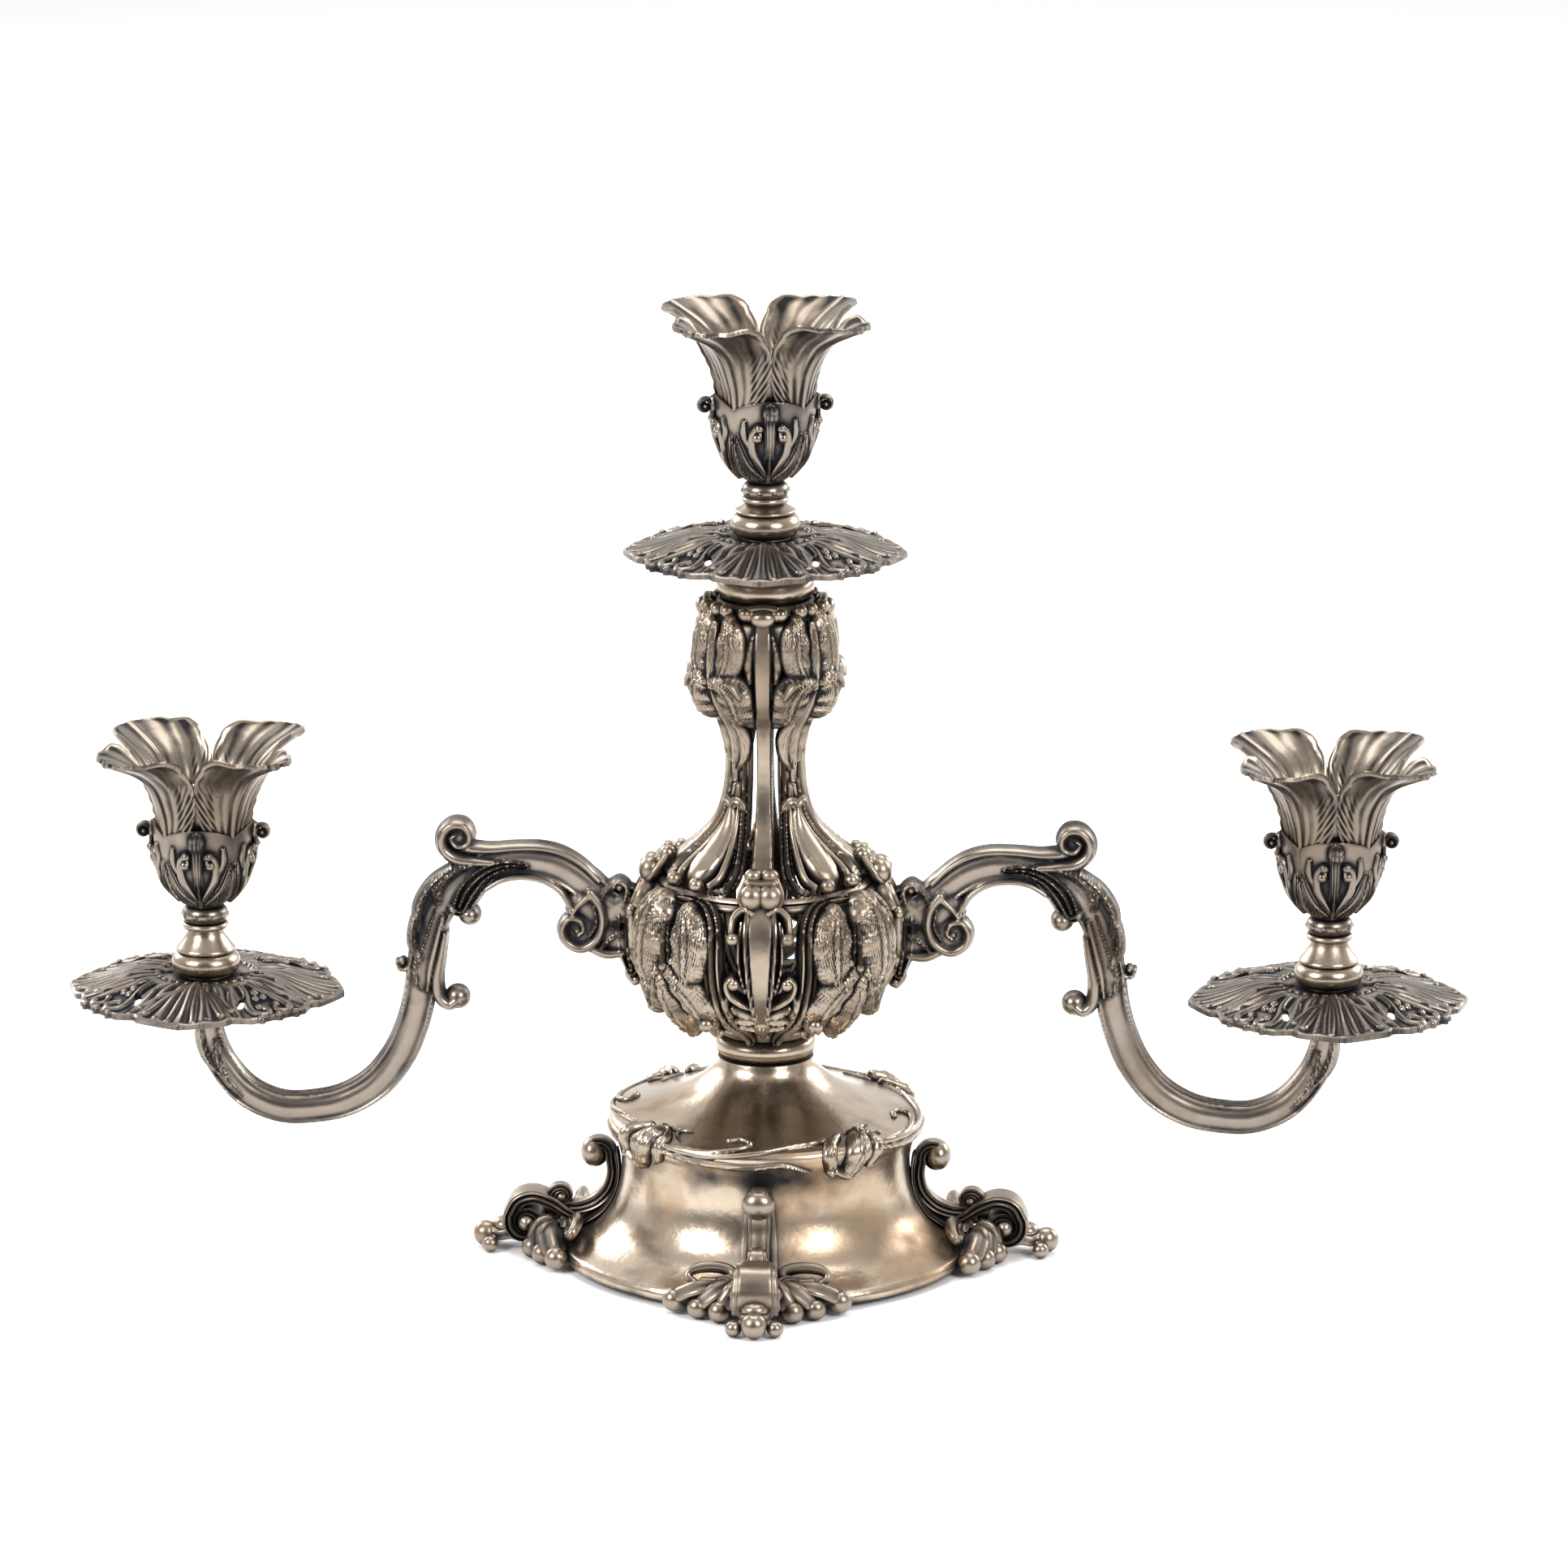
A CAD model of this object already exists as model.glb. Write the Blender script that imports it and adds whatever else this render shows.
"""Looks of the three-light candelabrum: cast relief, old silver plate and soft studio light.

Shapes are worked out in millimetres in the part's own frame (+Z up, +X along the right arm, -Y to
the front) and turned to metres when a mesh is made. Cast ornament is drawn as relief with strokes
on a flat or rolled-out grid, then cut out and closed into a solid wall.
"""

import math

import bmesh
import bpy
import numpy as np
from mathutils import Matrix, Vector


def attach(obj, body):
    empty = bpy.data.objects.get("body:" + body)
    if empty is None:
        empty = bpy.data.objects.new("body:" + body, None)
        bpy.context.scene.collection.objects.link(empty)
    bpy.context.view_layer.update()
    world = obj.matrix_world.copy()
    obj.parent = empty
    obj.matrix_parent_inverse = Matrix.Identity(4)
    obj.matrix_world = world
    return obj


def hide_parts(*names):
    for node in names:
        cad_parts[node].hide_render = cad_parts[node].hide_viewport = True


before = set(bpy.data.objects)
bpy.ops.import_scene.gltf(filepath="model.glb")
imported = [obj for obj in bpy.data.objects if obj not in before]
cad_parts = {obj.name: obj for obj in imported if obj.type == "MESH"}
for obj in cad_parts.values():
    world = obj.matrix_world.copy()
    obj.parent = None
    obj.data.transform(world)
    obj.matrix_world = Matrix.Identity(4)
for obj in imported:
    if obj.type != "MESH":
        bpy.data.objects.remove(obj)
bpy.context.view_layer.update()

ARM_REACH = 199.0
SIDE_HUB_Z = 100.5
TOP_HUB_Z = 261.0
SIDE_RISE = 26.5
TOP_RISE = 21.0
FRONT = -90.0
BORE_R = 2.62  # hole on a stud
FLOOR_REACH = 12  # metres from the middle to an edge of the floor
ROOM_LIGHT = 1.14
LENS_MM = 165
CAMERA_TURN = 2.4  # degrees to the right of straight ahead
CAMERA_REACH = 2.45
CAMERA_HEIGHT = 0.80
CAMERA_AIM = (0.0065, 0, 0.172)
LOW = -9.0  # height of a cell that no stroke has reached
QUARTERS = (0, 90, 180, 270)
SIDEWAYS = (0, 1, 0)
UPWARD = (0, 0, 1)
CORNERS = {"back_right": 45, "back_left": 135, "front_left": 225, "front_right": 315}


# ---- curves and turned surfaces -------------------------------------------------------------
def smooth(points, per=10):
    """A smooth curve through the points, as an array with a row for each sample."""
    p = np.asarray(points, float)
    p = np.vstack([2 * p[0] - p[1], p, 2 * p[-1] - p[-2]])
    t = np.linspace(0, 1, per, endpoint=False)[:, None]
    runs = []
    for a, b, c, d in zip(p[:-3], p[1:-2], p[2:-1], p[3:]):
        runs.append(0.5 * (
            2 * b + (c - a) * t + (2 * a - 5 * b + 4 * c - d) * t**2 + (3 * b - a - 3 * c + d) * t**3
        ))
    runs.append(p[-2][None])
    return np.vstack(runs)


def lengths(curve):
    """Distance along a curve at each of its samples."""
    steps = np.sqrt((np.diff(curve, axis=0) ** 2).sum(1))
    return np.concatenate([[0.0], np.cumsum(steps)])


def spiral(centre, start_r, end_r, start_deg, turns, count=40):
    """Points of a spiral round a centre; positive turns run anticlockwise."""
    share = np.linspace(0, 1, count)
    angle = np.radians(start_deg + 360 * turns * share)
    radius = start_r + (end_r - start_r) * share
    return np.stack([centre[0] + radius * np.cos(angle), centre[1] + radius * np.sin(angle)], -1)


class Turned:
    """A surface of revolution; s runs along its outline, in mm."""

    def __init__(self, points, per=12):
        curve = smooth(points, per)
        self.s = lengths(curve)
        self.r, self.z = curve[:, 0], curve[:, 1]
        self.length = self.s[-1]
        dr, dz = np.gradient(self.r, self.s), np.gradient(self.z, self.s)
        size = np.hypot(dr, dz)
        self.nr, self.nz = dz / size, -dr / size

    def radius(self, s):
        return np.interp(s, self.s, self.r)

    def s_at(self, z):
        return np.interp(z, self.z, self.s)

    def place(self, theta, s, height):
        r = np.interp(s, self.s, self.r) + height * np.interp(s, self.s, self.nr)
        z = np.interp(s, self.s, self.z) + height * np.interp(s, self.s, self.nz)
        return np.stack([r * np.cos(theta), r * np.sin(theta), z + 0 * theta], -1)


# ---- section shapes of a stroke: v runs from -1 to 1 across it, u from 0 to 1 along it --------
def dome(v, u):
    return np.sqrt(np.clip(1 - v * v, 0, 1))


def slab(v, u):
    return np.sqrt(np.clip((1 - np.abs(v)) / 0.3, 0, 1))


def fluted(count, depth=0.28):
    return lambda v, u: dome(v, u) * (1 - depth + depth * np.cos(count * np.pi * v))


def moulded(v, u):
    """Scroll moulding: a rim each side, a groove, and a raised round panel in the middle."""
    a = np.abs(v)
    edge = np.sqrt(np.clip((1 - a) / 0.16, 0, 1))
    rim = 0.15 * np.exp(-((a - 0.80) / 0.12) ** 2)
    panel = 0.26 * np.clip(1 - (a / 0.60) ** 2, 0, 1)
    return edge * (0.66 + rim + panel)


def feather(count, lean=1.6, depth=0.09):
    """A leaf or petal with a midrib and veins that sweep out to its edge."""
    def shape(v, u):
        veins = np.cos(count * np.pi * (u * 2.2 - lean * np.abs(v)))
        rib = 0.16 * np.exp(-(v / 0.13) ** 2)
        return dome(v, u) * (0.84 - depth * 0.5 + depth * 0.5 * veins) + rib
    return shape


def hairy(count, depth=0.085, ruffle=0.17):
    """An iris petal: full and round, with a midrib, fine lines out to a ruffled edge."""
    def shape(v, u):
        a = np.abs(v)
        lines = np.cos(count * np.pi * (1.9 * a - 1.1 * u))
        waves = ruffle * np.cos(7 * np.pi * u + 1.5 * v) * a**2
        rib = 0.07 * np.exp(-(v / 0.07) ** 2) - 0.05 * np.exp(-((a - 0.16) / 0.08) ** 2)
        return dome(v, u) * (0.93 - depth * 0.5 + depth * 0.5 * lines + waves) + rib
    return shape


def smooth_max(a, b, k):
    share = np.clip(0.5 + 0.5 * (a - b) / k, 0, 1)
    return b + (a - b) * share + k * share * (1 - share)


def blur(field, cells):
    """Box blur, twice, along both axes."""
    out = field
    for _ in range(2):
        for axis in (0, 1):
            pad = [(0, 0), (0, 0)]
            pad[axis] = (cells + 1, cells)
            total = np.cumsum(np.pad(out, pad, mode="edge"), axis=axis)
            wide = 2 * cells + 1
            if axis == 0:
                out = (total[wide:] - total[:-wide]) / wide
            else:
                out = (total[:, wide:] - total[:, :-wide]) / wide
    return out


class Canvas:
    """Relief on a grid: how high the metal stands in each cell, and how far inside it the cell is."""

    def __init__(self, x, y, scale=None, ground=None):
        self.x, self.y = x, y
        self.scale = np.ones_like(x) if scale is None else scale
        self.h = np.full(x.shape, LOW if ground is None else ground)
        self.f = np.full(x.shape, -5.0 if ground is None else 5.0)

    def near(self, points):
        """Cells near a stroke of (x, y, half width) points: offset, share along, and half width there."""
        p = np.asarray(points, float)
        margin = p[:, 2].max() + 1.0
        spread = margin / self.scale
        hit = (self.y > p[:, 1].min() - margin) & (self.y < p[:, 1].max() + margin)
        hit &= (self.x > p[:, 0].min() - spread) & (self.x < p[:, 0].max() + spread)
        cells = np.nonzero(hit.ravel())[0]
        k = self.scale.ravel()[cells]
        x, y = self.x.ravel()[cells] * k, self.y.ravel()[cells]
        mean = k.mean() if len(k) else 1.0
        along = lengths(np.stack([p[:, 0] * mean, p[:, 1]], -1))
        best = np.full(len(cells), 1e9)
        offset, share, width = np.zeros(len(cells)), np.zeros(len(cells)), np.ones(len(cells))
        for i in range(len(p) - 1):
            ax, ay = p[i, 0] * k, p[i, 1]
            ex, ey = (p[i + 1, 0] - p[i, 0]) * k, p[i + 1, 1] - p[i, 1]
            px, py = x - ax, y - ay
            t = np.clip((px * ex + py * ey) / (ex * ex + ey * ey + 1e-12), 0, 1)
            distance = np.hypot(px - t * ex, py - t * ey)
            w = p[i, 2] + (p[i + 1, 2] - p[i, 2]) * t
            closer = distance - w < best
            best = np.where(closer, distance - w, best)
            offset = np.where(closer, distance * np.sign(ex * py - ey * px + 1e-12), offset)
            reached = along[i] + t * (along[i + 1] - along[i])
            share = np.where(closer, reached / max(along[-1], 1e-9), share)
            width = np.where(closer, w, width)
        return cells, offset, share, width

    def stroke(self, points, height, shape=dome, base=0.0, blend=0.15, per=8):
        """Adds a raised stroke through (x, y, half width) points."""
        cells, offset, share, width = self.near(smooth(points, per) if per else points)
        v = np.clip(offset / np.maximum(width, 1e-6), -1, 1)
        top = base + height * shape(v, share)
        inside = width - np.abs(offset)
        flat_h, flat_f = self.h.ravel(), self.f.ravel()
        raised = np.where(inside > 0, top, LOW)
        flat_h[cells] = np.where(inside > 0, smooth_max(raised, flat_h[cells], blend), flat_h[cells])
        flat_f[cells] = np.maximum(flat_f[cells], inside)
        self.h, self.f = flat_h.reshape(self.x.shape), flat_f.reshape(self.x.shape)

    def both(self, points, height, shape=dome, base=0.0, blend=0.15, per=8):
        """The stroke and its mirror image across x = 0."""
        self.stroke(points, height, shape, base, blend, per)
        self.stroke([(-x, y, w) for x, y, w in points], height, shape, base, blend, per)

    def bead(self, x, y, radius, height, base=0.0):
        self.stroke([(x, y, radius), (x + 1e-3, y, radius)], height, dome, base, per=0)

    def cut(self, points, per=8):
        """Takes the metal away along a stroke."""
        cells, offset, share, width = self.near(smooth(points, per) if per else points)
        flat = self.f.ravel()
        flat[cells] = np.minimum(flat[cells], np.abs(offset) - width)
        self.f = flat.reshape(self.x.shape)

    def cavity(self, cell):
        """0.5 on level ground, more in a recess and less on a ridge."""
        metal = (self.f > 0).astype(float)
        h = np.where(metal > 0, self.h, 0.0)
        total = np.zeros_like(h)
        for reach, weight in ((0.8, 0.9), (2.4, 0.45)):
            cells = max(1, int(round(reach / cell)))
            around = blur(h * metal, cells) / np.maximum(blur(metal, cells), 1e-3)
            total += weight * (around - h)
        return np.clip(0.5 + total * np.clip(self.f / 1.8, 0.2, 1), 0, 1)


# ---- meshes -----------------------------------------------------------------------------------
def grid(points, wrap_u=False, wrap_v=False):
    """Vertices and quads of a rectangular array of points."""
    nu, nv = points.shape[:2]
    index = np.arange(nu * nv).reshape(nu, nv)
    if wrap_u:
        index = np.vstack([index, index[:1]])
    if wrap_v:
        index = np.hstack([index, index[:, :1]])
    quads = np.stack([index[:-1, :-1], index[1:, :-1], index[1:, 1:], index[:-1, 1:]], -1)
    return points.reshape(-1, 3), quads.reshape(-1, 4)


def as_part(vertices, quads, tris=None, cavity=None):
    tris = np.zeros((0, 3), int) if tris is None else np.asarray(tris, int).reshape(-1, 3)
    cavity = np.full(len(vertices), 0.48) if cavity is None else cavity
    return {
        "v": np.asarray(vertices, float), "q": np.asarray(quads, int).reshape(-1, 4), "t": tris, "c": cavity
    }


def clip_cell(corners, inside, cut):
    """The part of a triangle that is inside, and the two ends of its new edge."""
    outline, ends = [], []
    for k in range(3):
        here, there = corners[k], corners[(k + 1) % 3]
        if inside[here]:
            outline.append(("g", here))
        if inside[here] != inside[there]:
            made = ("c", cut(here, there))
            outline.append(made)
            ends.append(made)
    return outline, ends


def cut_out(front, back, field, cavity):
    """A closed wall between two grids, kept where the field is above zero."""
    nu, nv = field.shape
    field = field.copy()
    for edge in (np.s_[0, :], np.s_[-1, :], np.s_[:, 0], np.s_[:, -1]):
        field[edge] = np.minimum(field[edge], -0.02)
    flat = field.ravel()
    inside = flat > 0
    index = np.arange(nu * nv).reshape(nu, nv)
    cells = np.stack([index[:-1, :-1], index[1:, :-1], index[1:, 1:], index[:-1, 1:]], -1).reshape(-1, 4)
    count = inside[cells].sum(1)
    whole = cells[count == 4]
    f_pts, b_pts = front.reshape(-1, 3), back.reshape(-1, 3)
    cav = cavity.ravel()
    total = len(flat)
    cuts, cut_f, cut_b, cut_c = {}, [], [], []

    def cut(a, b):
        key = (a, b) if a < b else (b, a)
        if key not in cuts:
            share = flat[key[0]] / (flat[key[0]] - flat[key[1]])
            share = min(max(share, 0.02), 0.98)
            cuts[key] = len(cut_f)
            cut_f.append(f_pts[key[0]] * (1 - share) + f_pts[key[1]] * share)
            cut_b.append(b_pts[key[0]] * (1 - share) + b_pts[key[1]] * share)
            cut_c.append(cav[key[0]] * (1 - share) + cav[key[1]] * share)
        return cuts[key]

    polygons, rims = [], []
    for a, b, c, d in cells[(count > 0) & (count < 4)].tolist():
        for corners in ((a, b, c), (a, c, d)):
            outline, ends = clip_cell(corners, inside, cut)
            if len(outline) >= 3:
                polygons.append(outline)
            if len(ends) == 2:
                rims.append((ends[0][1], ends[1][1]))
    made = len(cut_f)
    start = 2 * total

    def number(vertex, side):
        kind, k = vertex
        return k + side * total if kind == "g" else start + side * made + k

    quads, tris = [whole, whole[:, ::-1] + total], []
    extra = []
    for outline in polygons:
        for side in (0, 1):
            face = [number(vertex, side) for vertex in outline]
            face = face if side == 0 else face[::-1]
            (tris if len(face) == 3 else extra).append(face)
    for a, b in rims:
        extra.append([start + a, start + b, start + made + b, start + made + a])
    if extra:
        quads.append(np.asarray(extra, int))
    vertices = np.vstack([f_pts, b_pts] + ([np.asarray(cut_f), np.asarray(cut_b)] if made else []))
    values = np.concatenate([cav, cav] + ([np.asarray(cut_c), np.asarray(cut_c)] if made else []))
    return tidy(as_part(vertices, np.vstack(quads), tris, values))


def tidy(part):
    """The part without vertices that no face uses."""
    used = np.zeros(len(part["v"]), bool)
    used[part["q"].ravel()] = True
    used[part["t"].ravel()] = True
    renumber = np.cumsum(used) - 1
    return as_part(part["v"][used], renumber[part["q"]], renumber[part["t"]], part["c"][used])


def join(parts):
    vertices, quads, tris, values, base = [], [], [], [], 0
    for part in parts:
        vertices.append(part["v"])
        quads.append(part["q"] + base)
        tris.append(part["t"] + base)
        values.append(part["c"])
        base += len(part["v"])
    return as_part(np.vstack(vertices), np.vstack(quads), np.vstack(tris), np.concatenate(values))


def moved(part, turn=0.0, shift=(0, 0, 0), mirror_x=False):
    """A copy turned about Z in degrees, then shifted; mirror_x flips it left to right first."""
    v = part["v"] * np.array([-1.0 if mirror_x else 1.0, 1, 1])
    a = math.radians(turn)
    turned = np.stack([
        v[:, 0] * math.cos(a) - v[:, 1] * math.sin(a), v[:, 0] * math.sin(a) + v[:, 1] * math.cos(a),
        v[:, 2]
    ], -1)
    return as_part(turned + np.asarray(shift, float), part["q"], part["t"], part["c"])


def lathe(points, segments=160, wobble=None, cavity=0.46):
    """A closed turned piece from its whole outline of (r, z) points; points on the axis are allowed."""
    p = np.asarray(points, float)
    theta = np.linspace(0, 2 * np.pi, segments, endpoint=False)
    r = np.repeat(np.maximum(p[:, :1], 1e-4), segments, 1)
    z = np.repeat(p[:, 1:], segments, 1)
    if wobble is not None:
        r = r + wobble(theta[None, :], z) * (r > 2)
    pts = np.stack([r * np.cos(theta), r * np.sin(theta), z], -1)
    vertices, quads = grid(pts, wrap_u=True, wrap_v=True)
    return as_part(vertices, quads, cavity=np.full(len(vertices), cavity))


def tube(
    path, across, through, binormal=None, flutes=0, depth=0.0, ring=32, square=1.0, cavity=0.48,
    plain_face=False
):
    """A bar along a path: across is its half size along the binormal, through the one at right angles."""
    p = np.asarray(path, float)
    n = len(p)
    t = np.gradient(p, axis=0)
    t /= np.linalg.norm(t, axis=1)[:, None]
    if binormal is None:
        b = np.cross(t[0], [0.0, 0.0, 1.0])
        if np.linalg.norm(b) < 0.2:
            b = np.array([0.0, 1.0, 0.0])
        frames = []
        for direction in t:
            b = b - direction * np.dot(b, direction)
            b = b / np.linalg.norm(b)
            frames.append(b)
        b = np.array(frames)
    else:
        b = np.repeat(np.asarray(binormal, float)[None], n, 0)
        b = b - t * (b * t).sum(1)[:, None]
        b /= np.linalg.norm(b, axis=1)[:, None]
    nrm = np.cross(b, t)
    along = lengths(p)
    wide, deep = (
        np.interp(along / along[-1], np.linspace(0, 1, len(sizes)), sizes)
        for sizes in (np.atleast_1d(across), np.atleast_1d(through))
    )
    reach = np.maximum(np.minimum(along, along[-1] - along) / np.maximum(np.minimum(wide, deep), 0.05), 0)
    cap = np.sqrt(np.clip(1 - (1 - np.clip(reach, 0, 1)) ** 2, 0.0004, 1))
    phi = np.linspace(0, 2 * np.pi, ring, endpoint=False)
    c, s = np.cos(phi), np.sin(phi)
    c, s = np.sign(c) * np.abs(c) ** square, np.sign(s) * np.abs(s) ** square
    side = np.abs(np.sin(phi)) ** 2 if plain_face else 1.0
    shape = 1 - depth * (0.5 - 0.5 * np.cos(flutes * phi)) * side if flutes else np.ones(ring)
    groove = 0.48 + (0.5 - 0.5 * np.cos(flutes * phi)) * 0.3 * side if flutes else np.full(ring, cavity)
    pts = p[:, None] + nrm[:, None] * (deep * cap)[:, None, None] * (c * shape)[None, :, None]
    pts = pts + b[:, None] * (wide * cap)[:, None, None] * (s * shape)[None, :, None]
    vertices, quads = grid(pts, wrap_v=True)
    tips = np.array([p[0], p[-1]])
    k = len(vertices)
    tris = [[k, (j + 1) % ring, j] for j in range(ring)]
    last = (n - 1) * ring
    tris += [[k + 1, last + j, last + (j + 1) % ring] for j in range(ring)]
    values = np.concatenate([np.tile(groove, n), [cavity, cavity]])
    return as_part(np.vstack([vertices, tips]), quads, tris, values)


def ball(centre, radius, rings=14, segments=22, stretch=(1, 1, 1), cavity=0.42):
    u = np.linspace(0, np.pi, rings)
    v = np.linspace(0, 2 * np.pi, segments, endpoint=False)
    pts = np.stack([
        np.sin(u)[:, None] * np.cos(v), np.sin(u)[:, None] * np.sin(v), np.cos(u)[:, None] + 0 * v
    ], -1)
    pts = pts[1:-1] * radius * np.asarray(stretch, float) + np.asarray(centre, float)
    vertices, quads = grid(pts, wrap_v=True)
    k = len(vertices)
    tips = np.asarray(centre, float) + np.array([[0, 0, radius * stretch[2]], [0, 0, -radius * stretch[2]]])
    tris = [[k, j, (j + 1) % segments] for j in range(segments)]
    last = (rings - 3) * segments
    tris += [[k + 1, last + (j + 1) % segments, last + j] for j in range(segments)]
    return as_part(np.vstack([vertices, tips]), quads, tris, np.full(k + 2, cavity))


def around(r, degrees, z):
    """The point at a radius and bearing round the Z axis."""
    a = math.radians(degrees)
    return r * math.cos(a), r * math.sin(a), z


def crossbar(x, z, reach, count):
    """A straight path along Y through (x, z)."""
    return np.array([(x, y, z) for y in np.linspace(-reach, reach, count)])


def marker(canvas, surface, base):
    """Strokes as (degrees, z, half width), with their mirror image unless told otherwise."""
    def mark(points, height, shape=dome, mirror=True, low=base):
        pts = [(math.radians(a), surface.s_at(z), w) for a, z, w in points]
        (canvas.both if mirror else canvas.stroke)(pts, height, shape, low)
    return mark


def rolled(surface, reach, counts, low_cut=0.0):
    """A grid rolled round a turned surface, from -reach to reach degrees."""
    theta = np.radians(np.linspace(-reach, reach, counts[0]))
    s = np.linspace(low_cut, surface.length, counts[1])
    theta, s = np.meshgrid(theta, s, indexing="ij")
    return theta, s, Canvas(theta, s, surface.radius(s))


def walled(surface, theta, s, canvas, cell, lowest, highest, inner):
    """The closed wall of a canvas rolled round a turned surface, down to a plain inner face."""
    cavity = canvas.cavity(cell)
    front = surface.place(theta, s, canvas.h.clip(lowest, highest))
    back = surface.place(theta, s, np.full_like(s, inner))
    return cut_out(front, back, canvas.f, cavity)


def in_plane(path, y=0.0):
    """(r, z) points as points of the XZ plane."""
    path = np.asarray(path, float)
    return np.stack([path[:, 0], np.full(len(path), y), path[:, 1]], -1)


def piece(name, part, body, nodes, slot, material):
    """Makes the mesh, and tells the frame what it stands for."""
    mesh = bpy.data.meshes.new(name)
    v, q, t = part["v"], part["q"], part["t"]
    mesh.vertices.add(len(v))
    mesh.vertices.foreach_set("co", (v * 0.001).ravel())
    mesh.loops.add(4 * len(q) + 3 * len(t))
    mesh.loops.foreach_set("vertex_index", np.concatenate([q.ravel(), t.ravel()]))
    mesh.polygons.add(len(q) + len(t))
    starts = np.concatenate([np.arange(len(q)) * 4, 4 * len(q) + np.arange(len(t)) * 3])
    mesh.polygons.foreach_set("loop_start", starts)
    mesh.polygons.foreach_set("use_smooth", np.ones(len(starts), bool))
    mesh.update(calc_edges=True)
    mesh.attributes.new("cavity", "FLOAT", "POINT").data.foreach_set("value", part["c"].astype(np.float32))
    work = bmesh.new()
    work.from_mesh(mesh)
    bmesh.ops.remove_doubles(work, verts=work.verts, dist=2e-6)
    bmesh.ops.dissolve_degenerate(work, edges=work.edges, dist=1e-6)
    bmesh.ops.recalc_face_normals(work, faces=work.faces)
    work.to_mesh(mesh)
    work.free()
    mesh.set_sharp_from_angle(angle=math.radians(48))
    mesh.materials.append(material)
    thing = bpy.data.objects.new(name, mesh)
    bpy.context.scene.collection.objects.link(thing)
    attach(thing, body)
    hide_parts(*nodes)


def standing(name, part, node, slot, material):
    """A piece of the stand that takes the place of one CAD node."""
    piece(name, part, "stand", [node], slot, material)


# ---- materials ----------------------------------------------------------------------------------
def old_silver(
    name, bright, dark, roughness, patina=1.0, blotch=0.25, blotch_colour=(0.30, 0.20, 0.12), reach=0.003,
    mottle=0.4
):
    """Silver plate: bright where rubbed, dark in the recesses, with soft tarnish blotches."""
    material = bpy.data.materials.new(name)
    material.use_nodes = True
    nodes, links = material.node_tree.nodes, material.node_tree.links
    surface = nodes["Principled BSDF"]
    surface.inputs["Metallic"].default_value = 1.0

    def add(kind, **settings):
        node = nodes.new(kind)
        for key, value in settings.items():
            setattr(node, key, value)
        return node

    def math_node(operation, a, b=None, clamp=False):
        node = add("ShaderNodeMath", operation=operation, use_clamp=clamp)
        for k, value in enumerate((a, b)):
            if value is None:
                continue
            if isinstance(value, (int, float)):
                node.inputs[k].default_value = value
            else:
                links.new(value, node.inputs[k])
        return node.outputs[0]

    def noise(size, detail, low, high):
        field = add("ShaderNodeTexNoise")
        field.inputs["Scale"].default_value = size
        field.inputs["Detail"].default_value = detail
        links.new(where.outputs["Object"], field.inputs["Vector"])
        spread = add("ShaderNodeMapRange", clamp=True)
        spread.inputs["From Min"].default_value = low
        spread.inputs["From Max"].default_value = high
        links.new(field.outputs["Fac"], spread.inputs["Value"])
        return spread.outputs["Result"]

    def blend(share, a, b):
        node = add("ShaderNodeMix", data_type="RGBA")
        links.new(share, node.inputs["Factor"])
        for key, value in ((6, a), (7, b)):
            if isinstance(value, tuple):
                node.inputs[key].default_value = (*value, 1.0)
            else:
                links.new(value, node.inputs[key])
        return node.outputs[2]

    where = add("ShaderNodeTexCoord")
    hollow = add("ShaderNodeAttribute", attribute_name="cavity")
    shade = add("ShaderNodeAmbientOcclusion", samples=6)
    shade.inputs["Distance"].default_value = reach
    closed = math_node("SUBTRACT", 1.0, shade.outputs["AO"])
    recess = math_node("SUBTRACT", hollow.outputs["Fac"], 0.5)
    in_hollows = math_node("MULTIPLY", recess, 2.1 * patina)
    in_corners = math_node("MULTIPLY", closed, 1.25 * patina)
    grime = math_node("ADD", in_hollows, in_corners)
    uneven = math_node("SUBTRACT", noise(55, 6, 0.3, 0.7), 0.5)
    grime = math_node("ADD", grime, math_node("MULTIPLY", uneven, mottle))
    grime = math_node("MULTIPLY", grime, 1.15, clamp=True)
    patches = math_node("MULTIPLY", noise(24, 6, 0.50, 0.72), blotch, clamp=True)
    mottled = math_node("MULTIPLY", noise(160, 4, 0.42, 0.75), 0.35 * blotch, clamp=True)
    colour = blend(patches, bright, blotch_colour)
    colour = blend(mottled, colour, blotch_colour)
    colour = blend(grime, colour, dark)
    links.new(colour, surface.inputs["Base Color"])
    rough = math_node("ADD", roughness, math_node("MULTIPLY", grime, 0.32))
    rough = math_node("ADD", rough, math_node("MULTIPLY", patches, 0.18), clamp=True)
    links.new(rough, surface.inputs["Roughness"])
    bump = add("ShaderNodeBump")
    bump.inputs["Strength"].default_value = 0.12
    bump.inputs["Distance"].default_value = 0.0004
    links.new(noise(420, 3, 0.2, 0.8), bump.inputs["Height"])
    links.new(bump.outputs["Normal"], surface.inputs["Normal"])
    return material


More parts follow.
